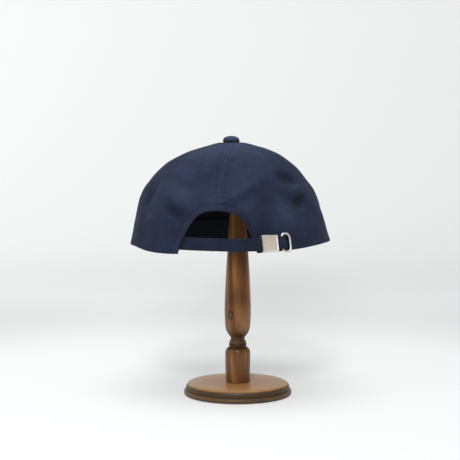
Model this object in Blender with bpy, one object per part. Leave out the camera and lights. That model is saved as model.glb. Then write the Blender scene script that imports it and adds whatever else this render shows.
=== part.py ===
# Soft duck-cloth cap with a strap and slide clasp at the back, resting on a turned wooden stand.
# Metres, +Z up. The origin is the centre of the stand's underside, -Y is the cap's back and
# +X its wearer's right.
import math
from collections import namedtuple

import bmesh
import bpy
from mathutils import Matrix, Vector

# Clearance between pieces that meet
GAP = 0.0003

# Wooden stand
STAND_HEIGHT = 0.2431
BASE_RADIUS = 0.0526
BASE_HEIGHT = 0.0120
POST_RADIUS = 0.0129
KNOB_RADIUS = 0.0160
KNOB_HEIGHT = 0.0130

# Crown
CAP_WIDTH = 0.1945
CAP_DEPTH = 0.1790
CROWN_HEIGHT = 0.0980
CROWN_WALL = 0.0018
CAP_LEAN = 0.0075
CROWN_SEAT = 0.0011
FOLD_HEIGHT = 0.0030
FOLD_RIM_SHARE = 0.15
FOLD_RIM_REACH = 0.25
SEAM_DIP = 0.0009
SEAM_WIDTH = 0.0050
PANEL_SWELL = 0.0012
PANELS = 6

# Button
BUTTON_WIDTH = 0.0158
BUTTON_HEIGHT = 0.0056

# Arch at the back and its binding
ARCH_WIDTH = 0.0750
ARCH_HEIGHT = 0.0390
ARCH_OFFSET = -0.0040
BINDING_WIDTH = 0.0048
BINDING_THICKNESS = 0.0010
CUTTER_REACH = 0.0144
CUTTER_DROP = 0.0118

# Strap, tab, clasp and tuck ring
STRAP_WIDTH = 0.0118
STRAP_THICKNESS = 0.0013
STRAP_HIDDEN = 0.0160
STRAP_SAG = 1.5
TAIL_WIDTH = 0.0106
TAIL_HIDDEN = 0.0090
TAB_THICKNESS = 0.0010
TAB_WIDTH = 0.0100
TAB_HIDDEN = 0.0090
CLASP_WIDTH = 0.0150
CLASP_HEIGHT = 0.0150
CLASP_PLATE = 0.0007
CLASP_BORDER = 0.0012
CLASP_SINK = 0.0004
CLASP_OFFSET = 0.0082
RING_WIDTH = 0.0106
RING_HEIGHT = 0.0186
RING_WIRE = 0.0020
RING_OFFSET = 0.0052
RING_SQUARENESS = 3.4
SLOT_HEIGHT = 0.0112
SLOT_LEFT = 0.12
SLOT_DEPTH = 0.0072

# Sweatband
BAND_HEIGHT = 0.0200
BAND_THICKNESS = 0.0012
BAND_BACK = math.radians(4)

# Peak
PEAK_REACH = 0.0670
PEAK_THICKNESS = 0.0030
PEAK_SPREAD = math.radians(64)
PEAK_SLOPE = math.radians(9)
PEAK_BEND = 0.45
PEAK_CLEARANCE = 1.6
PEAK_FALL = 1.2
PEAK_ROUNDNESS = 0.85

# Columns round the crown, and rows from its rim to its top
COLUMNS = 72
ROWS = 18
POST_SIDES = 24
BASE_SIDES = 48
BUTTON_SIDES = 20
RING_POINTS = 24
ARCH_STEPS = 3
PEAK_COLUMNS = 26
PEAK_ROWS = 8

# Fineness of searches and slopes along the crown
HALVINGS = 24
ANGLE_STEP = math.radians(0.5)
SLOPE_STEP = 0.02
FRAME_STEP = 0.002
MERGE_DISTANCE = 0.00001
SHARP_ANGLE = math.radians(35)

Section = namedtuple("Section", "height width back front shift")
Rim = namedtuple("Rim", "angle rise")
Fold = namedtuple("Fold", "angle height length width turn rise")
Arch = namedtuple("Arch", "height left right")
Turn = namedtuple("Turn", "height radius")
Stop = namedtuple("Stop", "along lift level width")
Via = namedtuple("Via", "mark past layer share")
Level = namedtuple("Level", "left right ring")
Look = namedtuple("Look", "name colour roughness metallic")

# Sections of the crown from its rim to its top: height as a share of the crown's height, half
# width and half depths as shares of the cap's, and the shift sideways as a share of the lean
CROWN_SECTIONS = [
    Section(0.000, 0.998, 1.000, 1.000, -1.00),
    Section(0.100, 0.968, 0.976, 0.980, -1.06),
    Section(0.200, 0.942, 0.954, 0.962, -1.14),
    Section(0.300, 0.915, 0.929, 0.941, -1.20),
    Section(0.400, 0.887, 0.902, 0.915, -1.22),
    Section(0.500, 0.848, 0.866, 0.880, -1.22),
    Section(0.600, 0.789, 0.808, 0.824, -1.24),
    Section(0.700, 0.709, 0.730, 0.744, -1.22),
    Section(0.800, 0.594, 0.616, 0.628, -1.17),
    Section(0.900, 0.420, 0.436, 0.444, -0.98),
    Section(0.960, 0.242, 0.250, 0.256, -0.78),
    Section(0.989, 0.124, 0.127, 0.130, -0.78),
    Section(1.000, 0.000, 0.000, 0.000, -0.85),
]

# How far the rim stands above its mean level, in degrees round from the back towards +X and
# shares of the crown's height
RIM = [
    Rim(-150, -0.020),
    Rim(-120, -0.050),
    Rim(-90, -0.015),
    Rim(-65, -0.006),
    Rim(-48, -0.035),
    Rim(-35, -0.046),
    Rim(0, -0.038),
    Rim(18, -0.029),
    Rim(35, -0.013),
    Rim(48, 0.002),
    Rim(62, 0.020),
    Rim(76, 0.030),
    Rim(92, 0.028),
    Rim(120, 0.002),
    Rim(150, -0.008),
    Rim(180, -0.005),
]

# Soft folds and dents: degrees round from the back, height, half length and half width as shares
# of the crown's height, slope in degrees, and rise as a share of the fold height
FOLDS = [
    Fold(55, 0.655, 0.150, 0.075, -10, -1.15),
    Fold(54, 0.545, 0.120, 0.050, 4, 0.60),
    Fold(57, 0.435, 0.150, 0.062, 10, -1.00),
    Fold(40, 0.340, 0.170, 0.080, -52, 0.60),
    Fold(30, 0.440, 0.110, 0.060, -60, -0.45),
    Fold(17, 0.570, 0.220, 0.055, 30, 0.55),
    Fold(14, 0.480, 0.180, 0.055, 28, -0.45),
    Fold(-27, 0.500, 0.270, 0.085, -26, 0.70),
    Fold(-30, 0.370, 0.160, 0.050, -18, -0.75),
    Fold(-50, 0.290, 0.110, 0.080, 10, 0.50),
    Fold(-58, 0.480, 0.130, 0.070, 60, -0.60),
    Fold(-72, 0.560, 0.180, 0.080, 50, 0.45),
    Fold(78, 0.300, 0.160, 0.070, -40, 0.50),
    Fold(82, 0.560, 0.140, 0.070, 35, -0.45),
    Fold(-100, 0.400, 0.200, 0.080, 30, -0.55),
    Fold(112, 0.450, 0.200, 0.080, -35, -0.55),
    Fold(135, 0.560, 0.260, 0.070, 28, 0.60),
    Fold(-140, 0.520, 0.260, 0.070, -24, 0.65),
    Fold(160, 0.360, 0.200, 0.080, -12, -0.55),
    Fold(-168, 0.640, 0.240, 0.070, 18, -0.50),
]

# Outline of the arch: shares of its height and of half its width to either side
ARCH_OUTLINE = [
    Arch(0.00, 1.010, 0.995),
    Arch(0.10, 0.990, 0.972),
    Arch(0.24, 0.945, 0.925),
    Arch(0.46, 0.835, 0.868),
    Arch(0.65, 0.722, 0.780),
    Arch(0.79, 0.610, 0.690),
    Arch(0.90, 0.470, 0.545),
    Arch(0.97, 0.290, 0.330),
    Arch(1.00, 0.060, 0.080),
]

# Turned post above the base: shares of the height from the base to the knob's foot, and of the
# post's largest radius
POST_TURNS = [
    Turn(0.000, 0.915),
    Turn(0.055, 0.935),
    Turn(0.095, 0.952),
    Turn(0.134, 0.955),
    Turn(0.145, 0.900),
    Turn(0.154, 0.750),
    Turn(0.161, 0.670),
    Turn(0.175, 0.640),
    Turn(0.184, 0.610),
    Turn(0.188, 0.530),
    Turn(0.202, 0.545),
    Turn(0.212, 0.690),
    Turn(0.226, 0.840),
    Turn(0.241, 0.920),
    Turn(0.258, 0.960),
    Turn(0.310, 0.998),
    Turn(0.345, 0.992),
    Turn(0.420, 0.945),
    Turn(0.500, 0.880),
    Turn(0.565, 0.810),
    Turn(0.660, 0.700),
    Turn(0.800, 0.565),
    Turn(0.940, 0.440),
    Turn(1.000, 0.420),
]

# Rounded knob: shares of its height and radius
KNOB_TURNS = [
    Turn(0.10, 0.72),
    Turn(0.24, 0.93),
    Turn(0.40, 1.00),
    Turn(0.58, 0.95),
    Turn(0.76, 0.78),
    Turn(0.90, 0.52),
    Turn(0.98, 0.22),
]

# Two-tier base: shares of its height and radius
BASE_TURNS = [
    Turn(0.00, 0.975),
    Turn(0.07, 0.997),
    Turn(0.30, 1.000),
    Turn(0.38, 0.988),
    Turn(0.43, 0.952),
    Turn(0.47, 0.949),
    Turn(0.52, 0.962),
    Turn(0.72, 0.958),
    Turn(0.88, 0.935),
    Turn(0.97, 0.895),
    Turn(1.00, 0.845),
]

# Button: shares of its height and radius
BUTTON_TURNS = [
    Turn(0.00, 0.00),
    Turn(0.00, 0.84),
    Turn(0.14, 0.97),
    Turn(0.34, 1.00),
    Turn(0.60, 0.90),
    Turn(0.84, 0.62),
    Turn(1.00, 0.00),
]

# Height of the strap's middle line above the rim's level, in shares of its width
STRAP_LEVEL = Level(left=0.47, right=0.34, ring=0.48)

# Turns of the tab's fold round the arch's edge, in degrees
TAB_TURNS = (0, 35, 70, 110, 145, 180)

# Route of the strap: the mark each stop is measured from, how far past it in that mark's own
# steps, the layer it lies at, and the share of that layer's lift
STRAP_ROUTE = [
    Via("left", -1.00, "inside", 1.00),
    Via("left", -0.50, "inside", 1.00),
    Via("arch", 0.02, "inside", 1.00),
    Via("arch", 0.40, "inside", 0.75),
    Via("arch", 0.70, "inside", 0.35),
    Via("edge", -1.70, "clasp", 0.18),
    Via("edge", -0.85, "clasp", 0.66),
    Via("edge", -0.10, "clasp", 1.02),
    Via("edge", 1.00, "clasp", 1.03),
    Via("clasp", -1.00, "clasp", 1.00),
    Via("clasp", 0.00, "clasp", 1.00),
    Via("clasp", 1.00, "clasp", 1.00),
    Via("ring", -1.12, "clasp", 0.90),
    Via("ring", -0.62, "ring", 0.87),
    Via("ring", -0.10, "ring", 0.27),
    Via("ring", 0.42, "inside", 0.55),
    Via("ring", 0.95, "inside", 1.00),
    Via("tail", 0.50, "inside", 1.02),
    Via("tail", 1.00, "inside", 1.02),
]

# Plain colour of each material
LOOKS = [
    Look("cloth", (0.043, 0.056, 0.100), 0.90, 0.0),
    Look("lining", (0.012, 0.014, 0.022), 0.90, 0.0),
    Look("metal", (0.62, 0.60, 0.55), 0.30, 1.0),
    Look("wood", (0.155, 0.067, 0.027), 0.55, 0.0),
    Look("base_wood", (0.43, 0.30, 0.175), 0.55, 0.0),
]


def clear_scene():
    for old in list(bpy.data.objects):
        bpy.data.objects.remove(old, do_unlink=True)


def plain_material(look):
    material = bpy.data.materials.new(look.name)
    material.use_nodes = True
    shader = material.node_tree.nodes["Principled BSDF"]
    shader.inputs["Base Color"].default_value = (*look.colour, 1.0)
    shader.inputs["Roughness"].default_value = look.roughness
    shader.inputs["Metallic"].default_value = look.metallic
    return material


# Curve through table rows


def blend(before, start, end, after, share):
    """Catmull-Rom curve through four values."""
    slope_in = (end - before) / 2
    slope_out = (after - start) / 2
    rest = end - start
    bend = 3 * rest - 2 * slope_in - slope_out
    twist = slope_in + slope_out - 2 * rest
    return start + share * (slope_in + share * (bend + share * twist))


def row_between(rows, place):
    """Row of numbers at a place along a table, smooth through its rows."""
    last = len(rows) - 1
    place = min(max(place, 0.0), last)
    first = min(int(place), last - 1)
    share = place - first
    start = rows[first]
    end = rows[first + 1]
    before = rows[first - 1] if first else [2 * a - b for a, b in zip(start, end)]
    after = rows[first + 2] if first + 2 <= last else [2 * b - a for a, b in zip(start, end)]
    return [blend(*values, share) for values in zip(before, start, end, after)]


# Shape of the crown


def rim_rise(angle):
    """Height of the rim above its mean level at an angle round from the back."""
    degrees = math.degrees(angle) % 360
    turns = [row.angle % 360 for row in RIM]
    order = sorted(range(len(RIM)), key=lambda index: turns[index])
    count = len(order)
    slot = max((k for k in range(count) if turns[order[k]] <= degrees), default=count - 1)
    picks = [order[(slot + step) % count] for step in (-1, 0, 1, 2)]
    start = turns[picks[1]]
    span = (turns[picks[2]] - start) % 360
    share = ((degrees - start) % 360) / span
    return blend(*(RIM[pick].rise for pick in picks), share) * CROWN_HEIGHT


def crown_top():
    return STAND_HEIGHT + CROWN_SEAT + CROWN_WALL


def fold_rise(angle, height, reach):
    """How far the folds, seams and panels move the cloth out at a place on the crown."""
    rise = 0.0
    for fold in FOLDS:
        turn = (angle - math.radians(fold.angle) + math.pi) % math.tau - math.pi
        across = turn * reach / CROWN_HEIGHT
        up = height - fold.height
        slope = math.radians(fold.turn)
        along = across * math.cos(slope) + up * math.sin(slope)
        aside = up * math.cos(slope) - across * math.sin(slope)
        spread = (along / fold.length) ** 2 + (aside / fold.width) ** 2
        rise += fold.rise * FOLD_HEIGHT * math.exp(-spread)
    sector = math.tau / PANELS
    from_seam = ((angle + sector / 2) % sector - sector / 2) * reach
    rise -= SEAM_DIP * math.exp(-((from_seam / SEAM_WIDTH) ** 2))
    rise += PANEL_SWELL * math.sin(math.pi * from_seam / (sector * max(reach, GAP))) ** 2
    fade = min(1.0, reach / (CAP_WIDTH / 4))
    near_rim = min(1.0, FOLD_RIM_SHARE + height / FOLD_RIM_REACH)
    return rise * fade * near_rim


def bare_point(angle, level):
    """Point of the crown before its folds."""
    height, width, back, front, shift = row_between(CROWN_SECTIONS, level)
    depth = back if math.cos(angle) > 0 else front
    rim = crown_top() - CROWN_HEIGHT + rim_rise(angle)
    return Vector((
        shift * CAP_LEAN + width * CAP_WIDTH / 2 * math.sin(angle),
        -depth * CAP_DEPTH / 2 * math.cos(angle),
        rim + (crown_top() - rim) * height,
    ))


def crown_normal(angle, level):
    low = max(level - SLOPE_STEP, 0.0)
    around = bare_point(angle + SLOPE_STEP, level) - bare_point(angle - SLOPE_STEP, level)
    upward = bare_point(angle, level + SLOPE_STEP) - bare_point(angle, low)
    return around.cross(upward).normalized()


def crown_point(angle, level, lift=0.0):
    """Point of the crown's outer face, or at a lift above it."""
    point = bare_point(angle, level)
    height, width = row_between(CROWN_SECTIONS, level)[:2]
    rise = fold_rise(angle, height, width * CAP_WIDTH / 2)
    return point + crown_normal(angle, level) * (rise + lift)


def level_at(angle, z):
    """Place along the crown's sections that lies at a height."""
    low, high = 0.0, len(CROWN_SECTIONS) - 1.0
    for _ in range(HALVINGS):
        middle = (low + high) / 2
        if bare_point(angle, middle).z < z:
            low = middle
        else:
            high = middle
    return (low + high) / 2


def angle_at(along):
    """Angle whose distance from the back seam, along the rim, is given."""
    angle, gone = 0.0, 0.0
    while gone < abs(along):
        side_step = CAP_WIDTH / 2 * math.cos(angle)
        depth_step = CAP_DEPTH / 2 * math.sin(angle)
        gone += ANGLE_STEP * math.hypot(side_step, depth_step)
        angle += ANGLE_STEP
    over = (gone - abs(along)) / (CAP_WIDTH / 2)
    return math.copysign(angle - over, along)


def wall_point(along, z, lift=0.0):
    """Point on the crown's back: distance round from the back seam, height and lift."""
    angle = angle_at(along)
    level = level_at(angle, z)
    point = crown_point(angle, level, lift)
    point.z += z - bare_point(angle, level).z
    return point


def rim_level():
    return crown_top() - CROWN_HEIGHT


# Building meshes


def new_object(name, mesh, material):
    made = bpy.data.objects.new(name, mesh)
    made.data.materials.append(material)
    bpy.context.scene.collection.objects.link(made)
    return made


def grid_mesh(name, rows, wraps=False, tip=None):
    """Sheet through rows of points, each row running the same way, the outer side out."""
    work = bmesh.new()
    lines = [[work.verts.new(point) for point in row] for row in rows]
    count = len(lines[0])
    spans = count if wraps else count - 1
    for low, high in zip(lines, lines[1:]):
        for k in range(spans):
            after = (k + 1) % count
            work.faces.new((low[k], low[after], high[after], high[k]))
    if tip is not None:
        crest = work.verts.new(tip)
        for k in range(spans):
            work.faces.new((lines[-1][k], lines[-1][(k + 1) % count], crest))
    mesh = bpy.data.meshes.new(name)
    work.to_mesh(mesh)
    work.free()
    mesh.shade_smooth()
    return mesh


def thicken(piece, thickness, offset):
    """Gives a sheet its wall: offset -1 adds it inside, 1 outside and 0 on both sides."""
    wall = piece.modifiers.new("wall", "SOLIDIFY")
    wall.thickness = thickness
    wall.offset = offset
    wall.use_even_offset = True
    wall.use_rim = True


def turned_object(name, profile, sides, material):
    """Solid of revolution: the profile runs from the foot's axis up to the top's axis."""
    work = bmesh.new()
    points = [work.verts.new((radius, 0.0, z)) for z, radius in profile]
    edges = [work.edges.new(pair) for pair in zip(points, points[1:])]
    bmesh.ops.spin(
        work, geom=points + edges, cent=(0, 0, 0), axis=(0, 0, 1), angle=math.tau,
        steps=sides, use_merge=True,
    )
    bmesh.ops.remove_doubles(work, verts=work.verts, dist=MERGE_DISTANCE)
    bmesh.ops.recalc_face_normals(work, faces=work.faces)
    mesh = bpy.data.meshes.new(name)
    work.to_mesh(mesh)
    work.free()
    mesh.shade_smooth()
    mesh.set_sharp_from_angle(angle=SHARP_ANGLE)
    return new_object(name, mesh, material)


def cut(piece, cutter):
    """Takes a hidden cutter out of a piece."""
    cutter.hide_render = True
    cutter.display_type = "WIRE"
    hole = piece.modifiers.new("cut_" + cutter.name, "BOOLEAN")
    hole.operation = "DIFFERENCE"
    hole.solver = "EXACT"
    hole.object = cutter


# Cap


def arch_half_outline(side):
    """Arch's edge on one side, from below the rim up to the top: distance round and height."""
    crest = rim_level() + rim_rise(angle_at(ARCH_OFFSET)) + ARCH_HEIGHT
    base = rim_level() + rim_rise(angle_at(ARCH_OFFSET + side * ARCH_WIDTH / 2))
    points = []
    for k in range(ARCH_STEPS * (len(ARCH_OUTLINE) - 1) + 1):
        height, left, right = row_between(ARCH_OUTLINE, k / ARCH_STEPS)
        share = -left if side < 0 else right
        points.append((ARCH_OFFSET + share * ARCH_WIDTH / 2, base + height * (crest - base)))
    return points


def arch_outline():
    """Whole edge of the arch from its left foot over the top to its right foot."""
    left = arch_half_outline(-1)
    right = arch_half_outline(1)
    return left + right[::-1]


def arch_cutter():
    """Arch-shaped block whose sides stand square to the crown's wall."""
    outline = arch_outline()
    below = rim_level() - CUTTER_DROP
    foot = [(outline[0][0], below)] + outline + [(outline[-1][0], below)]
    work = bmesh.new()
    rings = []
    for lift in (-CUTTER_REACH, CUTTER_REACH):
        rings.append([work.verts.new(wall_point(*place, lift)) for place in foot])
    inner, outer = rings
    count = len(foot)
    for k in range(count):
        after = (k + 1) % count
        work.faces.new((inner[k], outer[k], outer[after], inner[after]))
    work.faces.new(inner)
    work.faces.new(outer[::-1])
    bmesh.ops.triangulate(work, faces=work.faces)
    mesh = bpy.data.meshes.new("arch_cutter")
    work.to_mesh(mesh)
    work.free()
    return new_object("arch_cutter", mesh, bpy.data.materials["cloth"])


def arch_right_edge():
    """Distance round from the back seam to the arch's right edge, at the strap."""
    return ARCH_OFFSET + ARCH_OUTLINE[3].right * ARCH_WIDTH / 2


def clasp_middle():
    return arch_right_edge() + CLASP_OFFSET + CLASP_WIDTH / 2


def ring_middle():
    return clasp_middle() + CLASP_WIDTH / 2 + RING_OFFSET + RING_WIDTH / 2


def strap_height(along):
    """Height of the strap's middle line, which sags a little before it climbs to the clasp."""
    start = ARCH_OFFSET - ARCH_WIDTH / 2
    dip = arch_right_edge()
    end = ring_middle()
    start_z, dip_z, end_z = (rim_level() + STRAP_WIDTH * share for share in STRAP_LEVEL)
    if along < dip:
        share = max(0.0, (along - start) / (dip - start))
        return start_z + (dip_z - start_z) * share ** STRAP_SAG
    share = min(1.5, (along - dip) / (end - dip))
    return dip_z + (end_z - dip_z) * share


def slot_cutter():
    """Block for the slot in the crown behind the tuck ring."""
    half_wire = RING_WIRE / 2
    left = ring_middle() - RING_WIDTH * SLOT_LEFT
    right = ring_middle() + RING_WIDTH / 2 - half_wire + GAP
    middle = strap_height(ring_middle())
    rows = []
    for z in (middle - SLOT_HEIGHT / 2, middle + SLOT_HEIGHT / 2):
        corners = ((left, -SLOT_DEPTH), (right, -SLOT_DEPTH), (right, RING_WIRE), (left, RING_WIRE))
        rows.append([wall_point(along, z, lift) for along, lift in corners])
    work = bmesh.new()
    low, high = [[work.verts.new(point) for point in row] for row in rows]
    for k in range(4):
        after = (k + 1) % 4
        work.faces.new((low[k], low[after], high[after], high[k]))
    work.faces.new(low[::-1])
    work.faces.new(high)
    bmesh.ops.recalc_face_normals(work, faces=work.faces)
    mesh = bpy.data.meshes.new("slot_cutter")
    work.to_mesh(mesh)
    work.free()
    return new_object("slot_cutter", mesh, bpy.data.materials["cloth"])


def make_crown(cloth):
    last = len(CROWN_SECTIONS) - 1
    rows = []
    for k in range(ROWS):
        level = last * k / ROWS
        rows.append([crown_point(math.tau * c / COLUMNS, level) for c in range(COLUMNS)])
    tip = bare_point(0.0, last)
    crown = new_object("crown", grid_mesh("crown", rows, wraps=True, tip=tip), cloth)
    thicken(crown, CROWN_WALL, -1)
    cut(crown, arch_cutter())
    cut(crown, slot_cutter())
    return crown


def make_button(cloth):
    """Flat-bottomed cloth button on the crown's top."""
    radius = BUTTON_WIDTH / 2
    profile = [(turn.height * BUTTON_HEIGHT, turn.radius * radius) for turn in BUTTON_TURNS]
    button = turned_object("top_button", profile, BUTTON_SIDES, cloth)
    top = bare_point(0.0, len(CROWN_SECTIONS) - 1)
    button.location = (top.x, top.y, top.z + GAP)
    return button


def make_binding(cloth):
    """Strip along the arch's edge, on the crown's outer face."""
    outline = arch_outline()
    inner, middle, outer = [], [], []
    for k, place in enumerate(outline):
        before = Vector(outline[max(k - 1, 0)])
        after = Vector(outline[min(k + 1, len(outline) - 1)])
        along = (after - before).normalized()
        aside = Vector((-along.y, along.x))
        for line, share in ((inner, 0.0), (middle, 0.5), (outer, 1.0)):
            spot = Vector(place) + aside * BINDING_WIDTH * share
            line.append(wall_point(spot.x, spot.y, GAP))
    mesh = grid_mesh("arch_binding", [inner, middle, outer])
    binding = new_object("arch_binding", mesh, cloth)
    thicken(binding, BINDING_THICKNESS, 1)
    return binding


def ribbon(name, stops, thickness, material, steps=3):
    """Flat strap along stops that give distance round, lift, height of its middle and width."""
    low, middle, high = [], [], []
    for k in range(steps * (len(stops) - 1) + 1):
        along, lift, level, width = row_between(stops, k / steps)
        low.append(wall_point(along, level - width / 2, lift))
        middle.append(wall_point(along, level, lift))
        high.append(wall_point(along, level + width / 2, lift))
    piece = new_object(name, grid_mesh(name, [low, middle, high]), material)
    thicken(piece, thickness, 0)
    return piece


def under_wall(thickness):
    """Lift of the middle of a layer that lies against the crown's inside."""
    return -(CROWN_WALL + GAP + thickness / 2)


def tab_lift():
    """Lift of the tab's middle where it lies on the binding."""
    return 2 * GAP + BINDING_THICKNESS + TAB_THICKNESS / 2


def clasp_foot():
    """Lift of the clasp's back face, on the tab."""
    return tab_lift() + TAB_THICKNESS / 2 + GAP


def strap_in_clasp():
    return clasp_foot() + CLASP_PLATE + 2 * GAP + STRAP_THICKNESS / 2


def make_tab(cloth):
    """Short cloth loop round the arch's right edge, with the clasp on its outer end."""
    edge = arch_right_edge()
    inside = under_wall(TAB_THICKNESS)
    outside = tab_lift()
    turn = (outside - inside) / 2
    middle = (outside + inside) / 2
    stops = [(edge + TAB_HIDDEN, inside), (edge + turn, inside)]
    for degrees in TAB_TURNS:
        swing = math.radians(degrees)
        stops.append((edge - turn * math.sin(swing), middle - turn * math.cos(swing)))
    stops += [(edge + turn, outside), (clasp_middle(), outside)]
    rows = [Stop(along, lift, strap_height(edge), TAB_WIDTH) for along, lift in stops]
    return ribbon("clasp_tab", rows, TAB_THICKNESS, cloth, steps=1)


def make_strap(cloth):
    """Strap from inside the left flap, over the tab, through the clasp and in at the ring."""
    inside = under_wall(STRAP_THICKNESS)
    left = ARCH_OFFSET - ARCH_WIDTH / 2
    edge = arch_right_edge()
    half_ring = (RING_WIDTH - RING_WIRE) / 2
    turn = (tab_lift() - inside) / 2 + TAB_THICKNESS + STRAP_THICKNESS
    marks = {
        "left": (left, STRAP_HIDDEN),
        "arch": (left, edge - left),
        "edge": (edge, turn),
        "clasp": (clasp_middle(), CLASP_WIDTH / 2),
        "ring": (ring_middle(), half_ring),
        "tail": (ring_middle() + half_ring, TAIL_HIDDEN),
    }
    layers = {
        "inside": inside,
        "clasp": strap_in_clasp(),
        "ring": 4 * GAP + RING_WIRE + STRAP_THICKNESS / 2,
    }
    stops = []
    for via in STRAP_ROUTE:
        start, step = marks[via.mark]
        along = start + via.past * step
        width = STRAP_WIDTH if along < clasp_middle() else TAIL_WIDTH
        stops.append(Stop(along, layers[via.layer] * via.share, strap_height(along), width))
    return ribbon("back_strap", stops, STRAP_THICKNESS, cloth, steps=2)


def wall_frame(along, z, lift):
    """Placement whose X runs round the crown, Y up it and Z out of it."""
    origin = wall_point(along, z, lift)
    around = wall_point(along + FRAME_STEP, z, lift) - wall_point(along - FRAME_STEP, z, lift)
    upward = wall_point(along, z + FRAME_STEP, lift) - wall_point(along, z - FRAME_STEP, lift)
    out = around.cross(upward).normalized()
    around.normalize()
    upward = out.cross(around)
    columns = (around, upward, out)
    frame = Matrix.Identity(4)
    for k in range(3):
        for row in range(3):
            frame[row][k] = columns[k][row]
        frame[k][3] = origin[k]
    return frame


def box_loop(work, half_height, low, high, end):
    """Rectangle round the sleeve at one end, in the clasp's own frame."""
    corners = ((low, -half_height), (low, half_height), (high, half_height), (high, -half_height))
    return [work.verts.new((end, across, up)) for up, across in corners]


def make_clasp(metal):
    """Flat metal sleeve that the strap passes through, with a raised border on its face."""
    rise = strap_height(ring_middle()) - strap_height(arch_right_edge())
    lean = math.atan2(rise, ring_middle() - arch_right_edge())
    middle = clasp_middle()
    frame = wall_frame(middle, strap_height(middle), clasp_foot())
    inside_low = CLASP_PLATE
    inside_high = CLASP_PLATE + STRAP_THICKNESS + 5 * GAP
    outside_high = inside_high + CLASP_PLATE
    side = (CLASP_HEIGHT - STRAP_WIDTH - 4 * GAP) / 2
    work = bmesh.new()
    ends = []
    for x in (-CLASP_WIDTH / 2, CLASP_WIDTH / 2):
        outer = box_loop(work, CLASP_HEIGHT / 2, 0.0, outside_high, x)
        inner = box_loop(work, CLASP_HEIGHT / 2 - side, inside_low, inside_high, x)
        ends.append((outer, inner))
    (outer_a, inner_a), (outer_b, inner_b) = ends
    face = None
    for k in range(4):
        after = (k + 1) % 4
        side_face = work.faces.new((outer_a[k], outer_a[after], outer_b[after], outer_b[k]))
        face = side_face if k == 2 else face
        work.faces.new((inner_a[after], inner_a[k], inner_b[k], inner_b[after]))
        work.faces.new((outer_a[after], outer_a[k], inner_a[k], inner_a[after]))
        work.faces.new((outer_b[k], outer_b[after], inner_b[after], inner_b[k]))
    bmesh.ops.recalc_face_normals(work, faces=work.faces)
    bmesh.ops.inset_individual(work, faces=[face], thickness=CLASP_BORDER)
    bmesh.ops.translate(work, verts=face.verts, vec=(0, 0, -CLASP_SINK))
    bmesh.ops.transform(work, matrix=Matrix.Rotation(lean, 4, "Z"), verts=work.verts)
    mesh = bpy.data.meshes.new("clasp")
    work.to_mesh(mesh)
    work.free()
    clasp = new_object("clasp", mesh, metal)
    clasp.matrix_world = frame
    return clasp


def make_ring(metal):
    """D-shaped wire ring that lies on the crown round the slot."""
    half_width = (RING_WIDTH - RING_WIRE) / 2
    half_height = (RING_HEIGHT - RING_WIRE) / 2
    curve = bpy.data.curves.new("tuck_ring", "CURVE")
    curve.dimensions = "3D"
    curve.bevel_depth = RING_WIRE / 2
    curve.bevel_resolution = 2
    line = curve.splines.new("POLY")
    line.points.add(RING_POINTS - 1)
    roundness = 2 / RING_SQUARENESS
    for k in range(RING_POINTS):
        turn = math.tau * k / RING_POINTS
        x = math.copysign(abs(math.cos(turn)) ** roundness, math.cos(turn)) * half_width
        y = math.copysign(abs(math.sin(turn)) ** roundness, math.sin(turn)) * half_height
        line.points[k].co = (x, y, 0.0, 1.0)
    line.use_cyclic_u = True
    curve.materials.append(metal)
    ring = bpy.data.objects.new("tuck_ring", curve)
    bpy.context.scene.collection.objects.link(ring)
    lift = 1.5 * GAP + RING_WIRE / 2
    ring.matrix_world = wall_frame(ring_middle(), strap_height(ring_middle()), lift)
    return ring


def make_sweatband(cloth):
    """Band inside the rim, open at the arch, that passes behind the strap's and tab's ends."""
    column = math.tau / COLUMNS
    left_end = angle_at(ARCH_OFFSET - ARCH_WIDTH / 2) - BAND_BACK
    right_end = angle_at(arch_right_edge()) + BAND_BACK
    flat = -(CROWN_WALL + GAP)
    first = math.ceil(right_end / column)
    last = math.floor((left_end + math.tau) / column)
    angles = [right_end] + [column * k for k in range(first, last + 1)] + [left_end + math.tau]
    deep_right = angle_at(ring_middle() + RING_WIDTH / 2 + TAIL_HIDDEN)
    deep_left = angle_at(ARCH_OFFSET - ARCH_WIDTH / 2 - STRAP_HIDDEN) + math.tau
    rows = []
    for share in (0.0, 0.5, 1.0):
        row = []
        for angle in angles:
            behind = angle < deep_right + column or angle > deep_left - column
            lift = flat - (STRAP_THICKNESS + 3 * GAP if behind else 0.0)
            rim = rim_level() + rim_rise(angle)
            z = rim + 2 * GAP + share * BAND_HEIGHT
            row.append(crown_point(angle, level_at(angle, z), lift))
        rows.append(row)
    band = new_object("sweatband", grid_mesh("sweatband", rows), cloth)
    thicken(band, BAND_THICKNESS, -1)
    return band


def peak_foot(place):
    """Point beside the crown's rim where the peak starts, -1 at its left end and 1 at its right."""
    angle = math.pi - place * PEAK_SPREAD
    clear = 2 * GAP + PEAK_THICKNESS * math.sin(PEAK_SLOPE) * PEAK_CLEARANCE
    foot = crown_point(angle, 0.0, clear)
    foot.z = rim_level() + rim_rise(angle) + PEAK_THICKNESS
    return foot


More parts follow.
